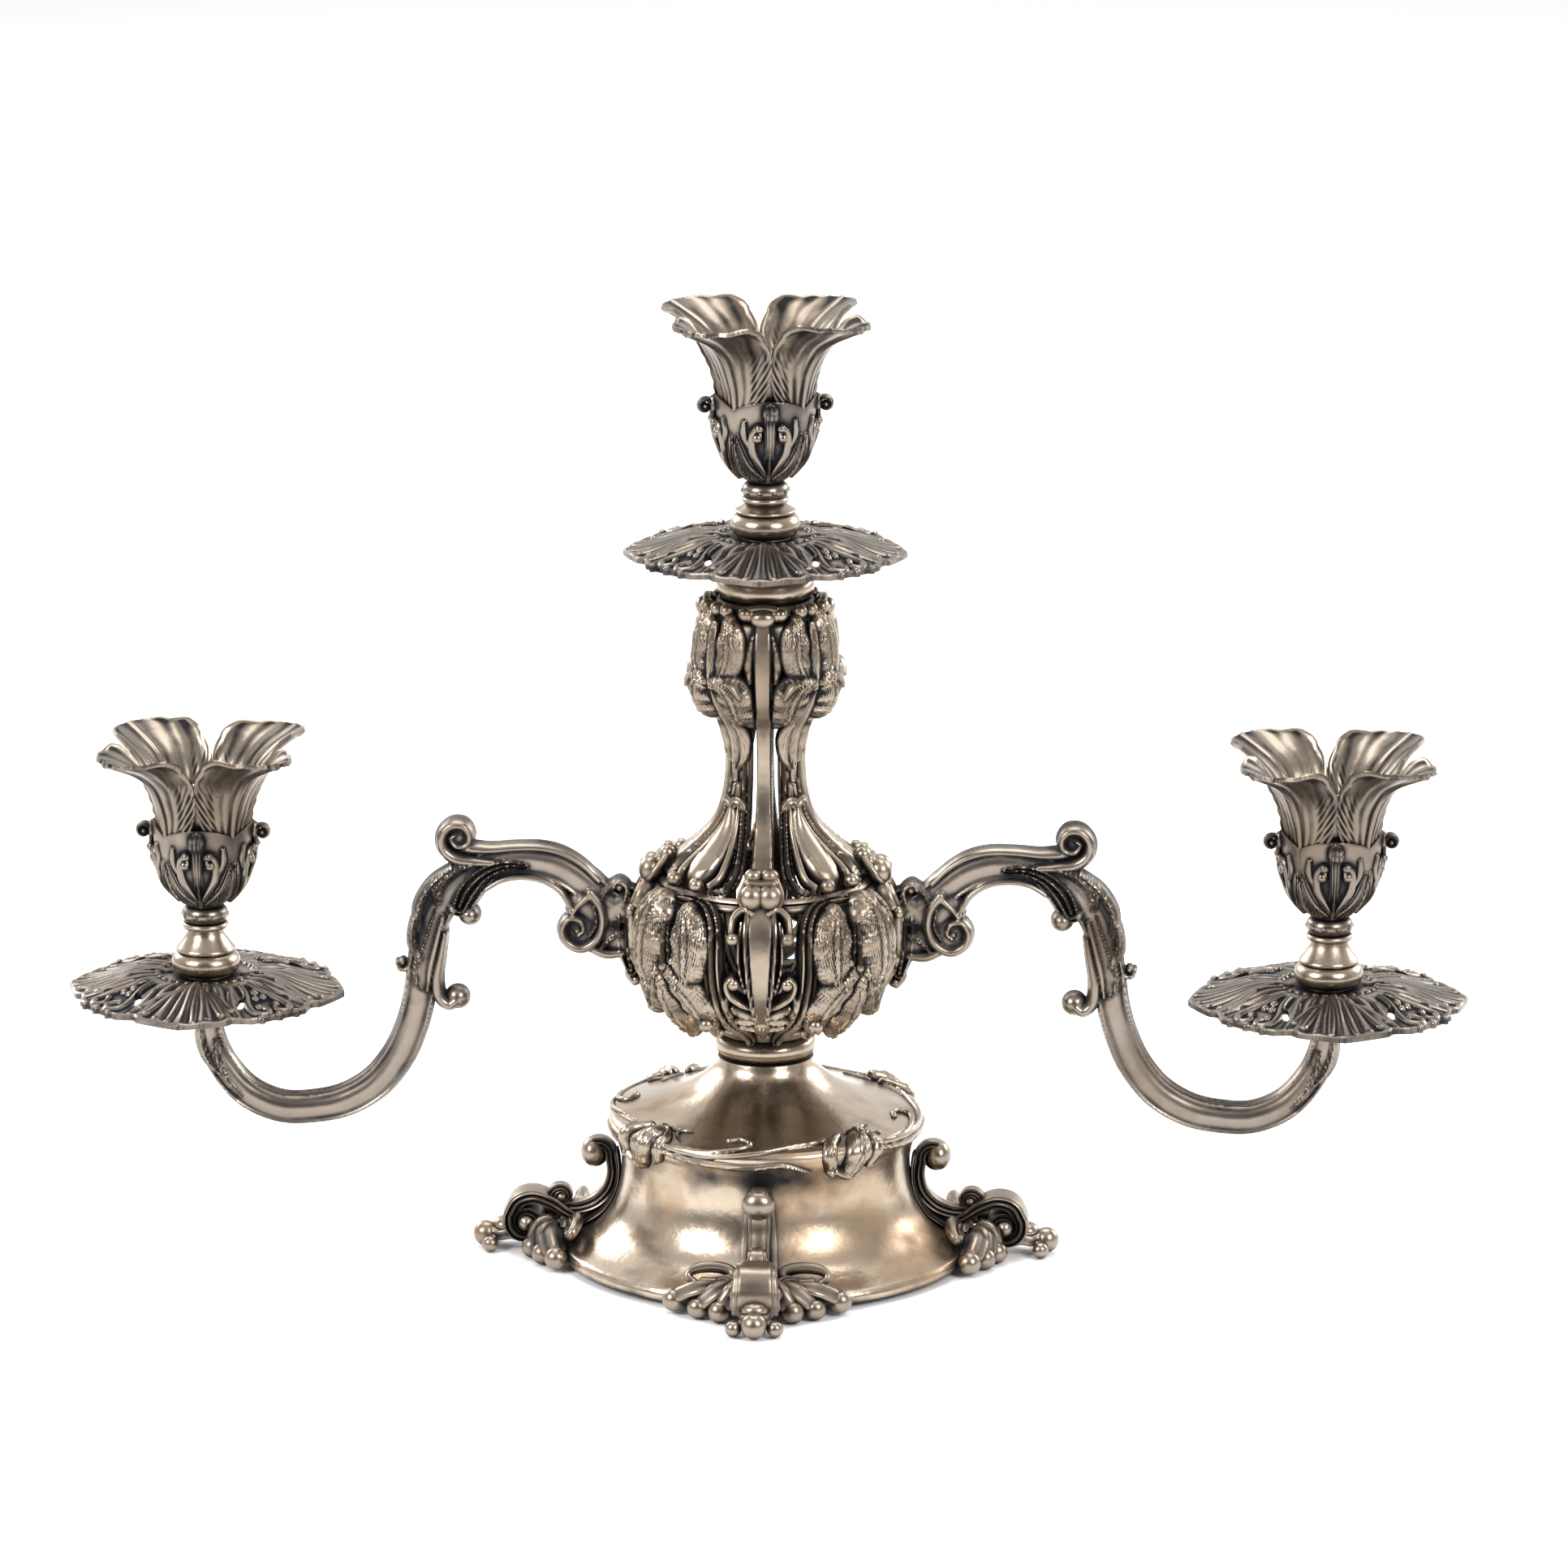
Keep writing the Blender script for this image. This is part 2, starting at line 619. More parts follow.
CAST = old_silver(
    "cast plate", bright=(0.33, 0.275, 0.215), dark=(0.022, 0.023, 0.027),
    roughness=0.30, patina=1.0, blotch=0.9, blotch_colour=(0.17, 0.125, 0.09), reach=0.003, mottle=0.7,
)
PAN = old_silver(
    "pan plate", bright=(0.225, 0.192, 0.16), dark=(0.016, 0.017, 0.021),
    roughness=0.26, patina=1.45, blotch=0.9, blotch_colour=(0.13, 0.10, 0.075), reach=0.003, mottle=0.8,
)
ARM = old_silver(
    "arm plate", bright=(0.255, 0.22, 0.185), dark=(0.030, 0.031, 0.036),
    roughness=0.30, patina=0.6, blotch=0.95, blotch_colour=(0.16, 0.12, 0.085), reach=0.004, mottle=0.7,
)
SPUN = old_silver(
    "spun plate", bright=(0.37, 0.305, 0.24), dark=(0.035, 0.032, 0.032),
    roughness=0.25, patina=0.8, blotch=0.6, blotch_colour=(0.24, 0.17, 0.11), reach=0.006, mottle=0.6,
)
PETAL = old_silver(
    "petal plate", bright=(0.215, 0.183, 0.148), dark=(0.022, 0.020, 0.020),
    roughness=0.30, patina=1.3, blotch=0.9, blotch_colour=(0.15, 0.105, 0.07), reach=0.004, mottle=0.9,
)
LINER = old_silver(
    "liner plate", bright=(0.42, 0.37, 0.31), dark=(0.05, 0.05, 0.05),
    roughness=0.35, patina=0.7, blotch=0.3,
)
BASE = old_silver(
    "base plate", bright=(0.50, 0.415, 0.325), dark=(0.040, 0.037, 0.038),
    roughness=0.23, patina=0.9, blotch=1.0, blotch_colour=(0.33, 0.215, 0.125), reach=0.006, mottle=1.0,
)
FOOT = old_silver(
    "foot plate", bright=(0.30, 0.25, 0.20), dark=(0.022, 0.023, 0.028),
    roughness=0.30, patina=1.0, blotch=0.7, blotch_colour=(0.19, 0.135, 0.09), reach=0.003, mottle=0.7,
)
GARLAND = old_silver(
    "garland plate", bright=(0.36, 0.30, 0.235), dark=(0.025, 0.025, 0.030),
    roughness=0.28, patina=1.1, blotch=0.6, blotch_colour=(0.22, 0.155, 0.10),
)
STEEL = old_silver(
    "steel fixings", bright=(0.50, 0.49, 0.47), dark=(0.08, 0.08, 0.08),
    roughness=0.35, patina=0.5, blotch=0.2,
)


# ---- lights -------------------------------------------------------------------------------------
PAN_TOP = [
    (12.0, 0.0), (15.0, 0.15), (19.0, 0.8), (26.0, 0.2), (33.0, -1.8), (39.0, -3.6), (45.0, -4.9),
    (51.5, -5.6)
]


def pan_edge(angle):
    """Outline radius of a drip pan: pointed leaves at the quarters, scrolled lobes between."""
    near = (angle + np.pi / 4) % (np.pi / 2) - np.pi / 4
    leaf = 49.8 - 26.0 * near**2 - 1.1 * np.abs(np.sin(9 * near))
    side = np.abs(near) - np.pi / 4
    lobe = 47.6 - 16.0 * np.abs(side + 0.16) ** 1.5 - 0.9 * np.abs(np.sin(13 * side))
    return np.maximum(leaf, lobe)


def drip_pan_part():
    """Pierced leaf dish. The leaves point along X and Y; the scrolls and berries lie between them."""
    axis = np.linspace(-52, 52, 236)
    x, y = np.meshgrid(axis, axis, indexing="ij")
    r, angle = np.hypot(x, y), np.arctan2(y, x)
    dish = np.interp(r, *np.array(smooth(PAN_TOP)).T)
    canvas = Canvas(x, y, ground=0.0)
    edge = pan_edge(angle)
    canvas.f = np.minimum(edge - r, 5.0)
    near = (angle + np.pi / 4) % (np.pi / 2) - np.pi / 4
    flutes = 0.5 + 0.5 * np.cos(near * 34)
    fade = np.clip((r - 15) / 8, 0, 1) * np.clip((edge - r) / 3, 0, 1)
    canvas.h = canvas.h + 0.95 * fade * flutes * np.exp(-(near / 0.55) ** 4)
    canvas.h = canvas.h + 0.7 * np.exp(-((edge - r - 1.0) / 1.0) ** 2)
    for q in QUARTERS:
        c, s = math.cos(math.radians(q)), math.sin(math.radians(q))

        def at(u, v):
            return u * c - v * s, u * s + v * c

        def mark(points, height, shape=dome):
            canvas.stroke([(*at(u, v), w) for u, v, w in points], height, shape)

        mark([(14, 0, 1.6), (28, 0, 1.5), (40, 0, 1.1), (48.5, 0, 0.5)], 1.1)
        for side in (-1, 1):
            for k, (u, v) in enumerate(((46.5, 4.6), (43.5, 9.4), (39.8, 13.4), (36.0, 16.2))):
                mark([
                    (20 + 2 * k, side * (1.5 + k), 0.7), (0.5 * (22 + u), side * 0.62 * v, 1.6),
                    (u - 1.0, side * v * 0.97, 1.3)
                ], 0.9)
                canvas.bead(*at(u, side * v), 1.35, 1.3)
            for k in range(4):
                turn = side * (0.10 + 0.115 * k)
                canvas.bead(*at(17.2 * math.cos(turn * 1.8), 17.2 * math.sin(turn * 1.8)), 1.25, 0.9)
        d = math.radians(q + 45)
        for side in (-1, 1):
            def away(u, v):
                return u * math.cos(d) - side * v * math.sin(d), u * math.sin(d) + side * v * math.cos(d)

            curl = [(24, 2.0), (30, 3.2), (36, 6.4), (41.5, 7.4), (44.6, 4.2), (42.6, 1.4), (39.6, 2.6)]
            canvas.stroke([
                (*away(u, v), w) for (u, v), w in zip(curl, (0.9, 1.3, 1.6, 1.6, 1.4, 1.1, 0.8))
            ], 1.5)
            leaf = [(26, 7.4, 0.8), (31, 10.0, 1.7), (37, 12.8, 1.9), (42, 14.0, 1.2)]
            canvas.stroke([(*away(u, v), w) for u, v, w in leaf], 1.1, feather(5))
            canvas.cut([(*away(32.5, 6.0), 1.1), (*away(35.5, 9.6), 1.5)], per=0)
            for u, v, w in ((33.5, 1.6, 1.5), (38.8, 3.6, 1.4), (46.0, 7.2, 1.4)):
                canvas.bead(*away(u, v), w, 1.5)
        canvas.bead(30.5 * math.cos(d), 30.5 * math.sin(d), 1.7, 1.7)
        canvas.bead(46.0 * math.cos(d), 46.0 * math.sin(d), 1.6, 1.6)
    canvas.f = np.minimum(canvas.f, r - BORE_R)
    cavity = canvas.cavity(0.44)
    relief = np.where(r > 12.6, canvas.h, 0.0)
    front = np.stack([x, y, dish + relief], -1)
    thick = 1.3 + 0.5 * np.clip((14 - r) / 4, 0, 1)
    back = np.stack([x, y, dish - thick - 0.12 * np.clip(relief, 0, 1)], -1)
    return cut_out(front, back, canvas.f, cavity)


def waist_part(rise):
    """Turned spool: a fat roll, a step, a hollowed neck and a small ring."""
    top = rise - 7.3
    low = 0.7 * top + 3.4
    roll = spiral((8.2, 4.6), 4.3, 4.3, -80, 160 / 360, 22) * np.array([0.93, 1.0]) + np.array([0.6, 0])
    neck = smooth([
        (10.5, 9.9), (8.6, 0.65 * 9.9 + 0.35 * low), (7.0, 0.3 * 9.9 + 0.7 * low), (6.3, low)
    ], 6)
    collar = spiral((7.2, 0.5 * (low + 0.5 + top)), 1.1, 1.1, -90, 0.5, 10)
    outline = [
        (BORE_R, 0.05), (9.0, 0.05), *roll, (9.6, 8.7), (10.4, 9.0), (10.6, 9.5), *neck, (6.6, low + 0.3),
        *collar, (6.6, top), (BORE_R, top)
    ]
    return lathe(outline, 128)


BOWL = Turned([
    (6.4, -0.6), (9.2, 1.8), (11.8, 4.6), (14.2, 8.2), (15.7, 12.0), (16.8, 17.0), (17.6, 22.0),
    (18.6, 30.0)
])


def calyx_part():
    """Openwork cup: four fleur scrolls on the seams, arched leaves between them, and a knop below."""
    knop = [
        (BORE_R, -7.3), (6.0, -7.3), *spiral((5.0, -4.2), 3.3, 3.3, -75, 150 / 360, 18), (6.4, -0.8),
        (7.0, 1.6), (BORE_R, 1.6)
    ]
    parts = [lathe(knop, 96)]
    for k in range(10):
        rising = zip(np.linspace(6.0, 8.6, 8), np.linspace(-6.8, -3.4, 8))
        parts.append(tube([around(r, 36 * k, z) for r, z in rising], 1.3, 0.7, ring=12))
    theta, s, canvas = rolled(BOWL, 46, (132, 128))
    mark = marker(canvas, BOWL, -0.9)
    mark([(0, -1.2, 30), (0.1, 2.2, 30)], 0.9, slab, False)
    mark([
        (0, 1.0, 2.4), (0, 6, 2.2), (0, 12, 1.7), (0, 18, 1.5), (0, 25, 1.3)
    ], 2.6, fluted(2), False)
    mark([(46, 1.5, 6.0), (46, 5, 5.2), (46, 10, 3.4), (46, 14, 1.2)], 1.8, feather(5))
    mark([
        (6, 4.0, 1.2), (15, 8.0, 1.5), (22, 13.0, 1.7), (20, 19.0, 1.6), (12, 21.0, 1.2), (11, 17.5, 1.0)
    ], 2.4)
    mark([(10, 2.5, 1.4), (27, 6.5, 1.7), (36, 12.5, 1.7), (40, 17.5, 1.0)], 2.0, fluted(3))
    mark([(22, 13, 1.3), (31, 18.0, 1.6), (30, 23.0, 0.9)], 1.9)
    mark([(0, 26.0, 2.8), (0, 28.0, 2.0)], 2.6, dome, False)
    quarter = walled(BOWL, theta, s, canvas, 0.25, -0.9, 9, -1.7)
    for q in QUARTERS:
        parts.append(moved(quarter, q))
        for scroll in fleur_parts():
            parts.append(moved(scroll, q))
    return join(parts)


def fleur_parts():
    """The standing scroll on a seam: a stem that curls outward into a volute, with a ball each side."""
    stem = smooth([(15.2, 9.0), (17.6, 15.0), (18.4, 20.5), (18.2, 25.5)], 6)
    curl = spiral((21.0, 26.0), 2.8, 1.0, 180, -1.15, 30)
    path = in_plane(np.vstack([stem, curl[1:]]))
    parts = [tube(path, (1.3, 1.6, 2.0, 2.3, 1.9), (0.8, 1.0, 1.1, 1.0, 0.8), SIDEWAYS, 8, 0.16, ring=24)]
    parts.append(ball((21.0, 0, 26.0), 1.25, stretch=(1, 2.1, 1)))
    for side in (-1, 1):
        parts.append(ball(around(17.4, side * 15, 17.4), 1.9))
        parts.append(ball(around(18.6, side * 12, 21.0), 1.6))
    return parts


FLARE = Turned([
    (13.7, 12.0), (15.3, 18.0), (16.3, 25.0), (17.6, 34.0), (19.8, 41.0), (23.2, 46.6), (28.0, 51.0),
    (33.5, 54.3), (38.5, 56.6), (42.4, 58.0), (45.0, 58.3),
])


def petals_part():
    """Four flared petals that overlap at their edges, veined inside and out, scalloped at the rim."""
    theta = np.radians(np.linspace(-52, 52, 150))
    s = np.linspace(0, FLARE.length - 0.5, 150)
    theta, s = np.meshgrid(theta, s, indexing="ij")
    scale = FLARE.radius(s)
    x = theta * scale
    rim = FLARE.length - 2.6
    half = np.interp(
        s, [0, 6, 14, 24, 32, 38, 44, 50, rim - 3, rim - 1, rim],
        [0.6, 5.0, 9.6, 13.6, 16.6, 18.4, 19.4, 17.4, 10.8, 6.5, 0.0]
    )
    bearing = np.arctan2(x, s - 30.0)
    scallop = 0.9 * (np.abs(np.sin(bearing * 6.5)) - 0.6) * np.clip((s - 32) / 8, 0, 1)
    field = half - np.abs(x) + scallop
    origin = np.arctan2(x, s + 6.0)
    fan = np.cos(origin * 58 + 0.25 * np.sin(s * 0.5)) * np.clip((s - 6) / 12, 0, 1)
    seam = np.clip((np.abs(x) / np.maximum(half, 1) - 0.45) / 0.4, 0, 1) * np.clip(1 - (s - 24) / 16, 0, 1)
    barbs = np.cos((s * 1.15 - np.abs(x) * 1.5) * 2.3) * seam
    spine = np.exp(-(x / 0.9) ** 2) * np.clip((s - 4) / 10, 0, 1)
    lip = np.exp(-((field - 0.8) / 0.8) ** 2) * np.clip((s - 30) / 8, 0, 1)
    curl = -0.030 * np.clip(np.abs(x) - 8, 0, 12) ** 2 * np.clip((s - 34) / 12, 0, 1)
    lap = 0.45 * np.clip(x / 8, -1, 1) * np.clip(s / 10, 0, 1)
    body = curl + lap + 0.8 * np.clip((s - 40) / 12, 0, 1) * np.cos(bearing * 3.2)
    ribs = 0.5 * np.cos(origin * 11) * np.clip((s - 12) / 14, 0, 1)
    out_relief = 0.13 * fan + 0.26 * barbs + 0.7 * spine + 0.45 * lip + ribs
    in_relief = 0.11 * fan - 0.6 * spine - 0.3 * lip + ribs
    front = FLARE.place(theta, s, body + out_relief)
    back = FLARE.place(theta, s, body - 1.15 + in_relief)
    canvas = Canvas(theta, s, scale)
    canvas.f, canvas.h = field, out_relief * 1.4
    one = cut_out(front, back, field, canvas.cavity(0.3))
    return join([moved(one, d) for d in (45, 135, 225, 315)])


def liner_part():
    """Candle socket: a thin tube with a rolled rim and a drain hole."""
    rim = spiral((12.3, 39.2), 0.85, 0.85, -100, 0.72, 16)
    outline = [(1.5, 8.5), (12.0, 8.5), (12.3, 8.9), *rim, (11.5, 38.6), (11.5, 9.6), (1.5, 9.6)]
    return lathe(outline, 128, cavity=0.55)


def nut_part(z, across, height, bore):
    """Six-sided nut with a round bore."""
    angle = np.radians(np.arange(0, 360, 60) + 30)
    corner = across / 2 / math.cos(math.radians(30))
    rows = []
    for r, level in ((corner, z), (corner, z + height), (bore, z + height), (bore, z)):
        rows.append(np.stack([r * np.cos(angle), r * np.sin(angle), np.full(6, level)], -1))
    vertices, quads = grid(np.array(rows), wrap_u=True, wrap_v=True)
    return as_part(vertices, quads)


def rod_part(low, high, radius):
    """Threaded rod: a cylinder with rounded thread crests."""
    turns = np.arange(low + 0.4, high - 0.4, 0.4)
    crest = radius - 0.12 + 0.12 * np.cos((turns - low) * 2 * np.pi / 0.8)
    outline = [(1e-4, low), (radius - 0.4, low), *zip(crest, turns), (radius - 0.4, high), (1e-4, high)]
    return lathe(outline, 40, cavity=0.55)


def build_lights():
    """The three lights, each a row of pieces stacked on its stud."""
    pan, calyx, petals, liner = drip_pan_part(), calyx_part(), petals_part(), liner_part()
    nut = nut_part(2.7, 8.0, 3.5, 2.5)
    places = (
        ("left", -ARM_REACH, SIDE_HUB_Z, SIDE_RISE, -5, -1),
        ("right", ARM_REACH, SIDE_HUB_Z, SIDE_RISE, 5, 3),
        ("top", 0.0, TOP_HUB_Z, TOP_RISE, 0, 8),
    )
    for name, x, hub_z, rise, pan_turn, cup_turn in places:
        hub, neck = (x, 0, hub_z), (x, 0, hub_z + rise)
        nozzle = f"{name}_nozzle"
        rows = (
            ("pan", pan, pan_turn, hub, f"{name}_pan", "drip_pan", "cast_plate", PAN),
            ("spool", waist_part(rise), 0, hub, nozzle, "waist", "spun_plate", SPUN),
            ("cup", calyx, cup_turn, neck, nozzle, "calyx", "cast_plate", PAN),
            ("flower", petals, cup_turn, neck, nozzle, "petals", "petal_plate", PETAL),
            ("socket", liner, 0, neck, f"{name}_liner", "liner", "liner_plate", LINER),
            ("nut", nut, 0, neck, "stand", "clamp_nut", "steel_fixings", STEEL),
        )
        for kind, part, turn, seat, body, node, slot, material in rows:
            piece(f"{kind}_{name}", moved(part, turn, seat), body, [f"{node}_{name}"], slot, material)
        if name != "top":
            rod = moved(rod_part(hub_z - 9.0, hub_z + rise + 7.0, 2.5), 0, (x, 0, 0))
            piece(f"rod_{name}", rod, "stand", [f"stud_{name}"], "steel_fixings", STEEL)


# ---- base ---------------------------------------------------------------------------------------
SKIRT = [
    (73.0, 6.6), (66.4, 9.2), (60.5, 12.6), (55.6, 18.4), (52.6, 25.6), (51.4, 33.0), (51.9, 39.0),
    (53.6, 44.4)
]
SHOULDER_TOP = [(55.0, 47.4), (55.9, 50.0), (55.2, 52.0), (53.0, 53.2)]
ROOF = [(46.0, 54.9), (38.0, 57.2), (31.0, 60.0), (25.0, 63.4), (20.6, 67.0), (18.2, 70.0), (17.0, 73.0)]
COLLAR_LOW = 72.6


def uneven_spinning(theta, z):
    """How far hand-spun metal strays from a true circle, in mm."""
    return 0.035 * np.sin(3 * theta + 0.11 * z) + 0.03 * np.sin(7 * theta - 0.2 * z)


def base_shell_part():
    """Spun dome with a rolled rim, open below."""
    outer = smooth([(73.8, 5.9), *SKIRT, *SHOULDER_TOP, *ROOF], 9)
    inner = np.array([(r - 1.5, z - 0.4) for r, z in outer if z > 8 and r > 19])[::-1]
    rim = [(71.2, 1.6), (72.6, 1.6), (74.0, 2.4), (74.6, 3.6), (74.5, 4.8)]
    outline = [*rim, *outer, (3.3, 73.0), (3.3, 71.0), (16.0, 71.0), *inner, (71.0, 6.4)]
    part = lathe(outline, 288, uneven_spinning)
    x, y, z = part["v"].T
    for turn, strength in ((FRONT, 0.52), (0, 0.16), (90, 0.22), (180, 0.16)):
        away = (np.degrees(np.arctan2(y, x)) - turn + 180) % 360 - 180
        part["c"] = part["c"] + strength * np.exp(-((z - 42.5) / 5.0) ** 2 - (away / 30) ** 2)
        part["c"] = part["c"] + 0.22 * np.exp(-((z - 26.0) / 14) ** 2 - (away / 8.5) ** 2)
    return part


def collar_part(low, height, roll, neck):
    """Fat round ring with a flat fillet above and below."""
    round_r = 0.42 * height
    curve = spiral((roll - round_r, low + 0.5 * height), round_r, round_r, -84, 168 / 360, 22)
    outline = [
        (3.4, low), (roll - 1.6, low), *curve, (neck + 0.9, low + height - 0.4), (neck, low + height),
        (3.4, low + height)
    ]
    return lathe(outline, 144)


EDGE = Turned([
    (52.2, 40.6), (53.6, 44.4), (55.0, 47.4), (55.9, 50.0), (55.2, 52.0), (53.0, 53.2), (46.0, 54.9),
    (38.0, 57.2), (33.0, 59.0)
])


def garland_part():
    """Iris head with its stem, tendril and long leaves, laid over the shoulder of the base."""
    theta = np.radians(np.linspace(-34, 78, 330))
    s = np.linspace(0, EDGE.length, 84)
    theta, s = np.meshgrid(theta, s, indexing="ij")
    canvas = Canvas(theta, s, EDGE.radius(s))
    ridge = EDGE.s_at(50.6)

    def mark(points, height, shape=dome):
        canvas.stroke([(math.radians(a), ridge + v, w) for a, v, w in points], height, shape, -0.5)

    mark([(-4, 9.4, 0.6), (-12, 8.2, 1.5), (-22, 6.2, 1.3), (-31, 4.2, 0.4)], 1.7, feather(4))
    mark([
        (5, 0.4, 0.7), (16, -1.4, 1.4), (30, -2.6, 1.9), (44, -3.0, 1.6), (56, -2.0, 1.2), (66, -5.2, 0.4)
    ], 2.0, feather(3, 0.6))
    mark([
        (3, 2.2, 0.9), (16, 0.8, 1.0), (30, 0.6, 1.1), (46, 2.4, 1.1), (60, 5.6, 0.9), (75, 7.0, 0.5)
    ], 1.9)
    mark([
        (10, 1.6, 0.8), (22, 1.2, 0.9), (33, 2.4, 1.0), (41, 5.0, 1.1), (42.6, 8.4, 1.2), (38.6, 10.6, 1.1),
        (34.0, 9.2, 1.2)
    ], 2.0)
    mark([(0, 11.0, 0.9), (7, 11.6, 1.3), (15, 12.2, 0.4)], 1.8, feather(3))
    mark([(9, 11.6, 0.5), (10, 8.6, 0.7), (14, 5.4, 0.4)], 1.6)
    mark([(-6, 8.6, 1.8), (-11, 4.6, 2.6), (-13, -0.5, 3.0), (-11.4, -5.6, 2.4)], 3.2, hairy(4))
    mark([(3, 8.8, 2.0), (1.0, 4.2, 4.4), (-1.6, -1.2, 5.2), (-4.4, -7.4, 3.6)], 4.4, hairy(7))
    mark([(6.4, 7.6, 1.2), (8.0, 3.0, 2.6), (6.4, -2.6, 2.8), (4.2, -6.0, 1.2)], 3.0, hairy(4))
    mark([(-10.6, -5.2, 1.4), (-8.0, -7.0, 1.7), (-4.6, -8.6, 1.8)], 4.0)
    canvas.bead(math.radians(-12.6), ridge - 5.6, 1.7, 3.8)
    return walled(EDGE, theta, s, canvas, 0.34, -0.5, 9, -0.8)


# A rim leaf's ball: radius from the stem, distance beside the foot, height, size, and its leaf's crown.
RIM_LEAVES = ((82.6, 12.8, 4.2, 4.0, 13.0), (78.6, 20.4, 4.2, 3.9, 12.0), (73.2, 29.0, 5.2, 4.1, 10.6))


def foot_parts():
    """Cast foot standing along +X: an upper C-scroll, a big lower C-scroll, toe balls and rim leaves."""
    top = spiral((60.2, 35.6), 5.2, 2.0, 180, -1.15, 34)[::-1]
    run = smooth([(55.0, 34.4), (54.4, 29.0), (56.0, 23.0), (60.4, 18.2), (66.0, 15.8), (71.6, 15.4)], 7)
    low = spiral((73.0, 19.6), 4.2, 1.5, -88, 1.2, 34)
    upper = in_plane(np.vstack([top, run, low]))
    flange = smooth([(53.4, 38.0), (52.6, 31.0), (53.6, 24.0), (57.6, 16.6), (63.4, 12.2), (70.0, 9.4)], 6)
    back = smooth([(64.0, 11.4), (70.0, 13.4), (76.4, 17.6), (82.6, 20.0), (88.2, 18.4), (91.2, 13.4)], 7)
    big = in_plane(np.vstack([back, spiral((85.4, 11.0), 5.9, 2.2, 8, -1.15, 34)]))
    toe = in_plane(smooth([(84.0, 5.0), (90.6, 6.4), (95.6, 5.6), (99.8, 7.2)], 6))
    grooved = {"flutes": 12, "plain_face": True, "binormal": SIDEWAYS}
    parts = [
        tube(upper, (2.6, 3.6, 3.9, 3.7, 3.4, 2.8), (1.3, 1.9, 2.5, 2.6, 2.1, 1.2),
             depth=0.3, ring=48, square=0.62, **grooved),
        tube(crossbar(60.4, 35.4, 4.9, 12), 2.9, 2.9, UPWARD, ring=24),
        ball((61.6, 0, 36.2), 5.2, stretch=(0.86, 1.14, 1.04)),
        tube(crossbar(73.0, 19.4, 3.9, 12), 1.7, 1.7, UPWARD, ring=20),
        tube(in_plane(flange), (5.0, 6.4, 7.2, 7.6), 1.0, SIDEWAYS, 6, 0.15, ring=28, cavity=0.75),
        tube(big, (5.0, 6.0, 7.6, 8.8, 8.4, 7.2), (1.6, 2.5, 2.8, 2.7, 2.1, 1.4),
             depth=0.26, ring=52, square=0.6, **grooved),
        tube(crossbar(85.3, 11.0, 9.4, 16), 3.1, 3.1, UPWARD, ring=26),
        tube(toe, (7.4, 6.0, 5.0), (4.0, 3.4, 2.8), SIDEWAYS, 6, 0.12, ring=30),
        ball((100.2, 0, 5.0), 4.6),
        ball((93.4, 0, 8.6), 3.6, stretch=(1.2, 1.3, 0.8)),
    ]
    for side in (-1, 1):
        parts += foot_side_parts(side)
    return parts


def foot_side_parts(side):
    """The toe ball, rim leaves, scroll loop and spray on one side of a foot."""
    link = np.array([(95.0, side * 3.0, 4.6), (97.2, side * 4.6, 4.4), (98.2, side * 6.2, 3.6)])
    parts = [ball((98.2, side * 7.2, 3.2), 2.9), tube(link, 1.7, 1.7, ring=16)]
    for r, y, z, size, crown in RIM_LEAVES:
        start = (76.0 - 0.05 * y, side * (3.0 + 0.22 * y), crown)
        middle = (0.5 * (r + 76.0) + 1.0, side * 0.66 * y, 0.5 * (crown + z) + 2.4)
        lobe = smooth([start, middle, (r, side * y, z + 0.6)], 8)
        parts.append(tube(lobe, (2.2, 4.7, 4.0), (1.5, 3.2, 3.0), flutes=4, depth=0.2, ring=30))
        parts.append(ball((r, side * y, z), size))
    loop = spiral((0.0, 0.0), 1.0, 0.72, -60, 1.05, 34) * np.array([8.8, 4.6])
    path = np.array([(68.0 - 0.42 * v, side * (16.0 + u), 12.6 + 0.6 * v) for u, v in loop])
    parts.append(tube(path, (1.3, 2.2, 2.4, 1.8), (1.2, 2.0, 2.0, 1.5), ring=18))
    spray = smooth([(76.0, side * 5.0, 9.6), (71.8, side * 9.4, 12.4), (70.8, side * 14.6, 12.0)], 8)
    parts.append(tube(spray, (1.5, 2.2, 1.4), (1.2, 1.5, 1.0), flutes=5, depth=0.2, ring=22))
    return parts


# ---- stem ---------------------------------------------------------------------------------------
BULB = Turned([
    (15.6, 82.4), (18.4, 86.0), (24.4, 90.0), (32.0, 94.0), (38.4, 99.4), (42.8, 106.4), (45.2, 114.0),
    (45.8, 121.0), (44.8, 128.0), (42.2, 134.0), (38.6, 138.4)
])
NECK = Turned([
    (38.4, 138.6), (34.8, 142.2), (29.6, 146.6), (23.4, 152.0), (18.0, 157.8), (14.8, 164.0), (12.9, 172.0),
    (12.3, 181.0), (12.9, 189.0), (15.0, 196.0), (19.2, 202.4), (22.6, 209.0), (24.0, 218.0), (22.8, 228.0),
    (19.6, 236.0), (16.4, 240.4)
])


def on_quarter(r, y, z, radius, stretch=(1, 1, 1)):
    """A ball and its mirror image beside the strap at +X."""
    x = math.sqrt(max(r * r - y * y, 1.0))
    return [ball((x, side * y, z), radius, stretch=stretch) for side in (-1, 1)]


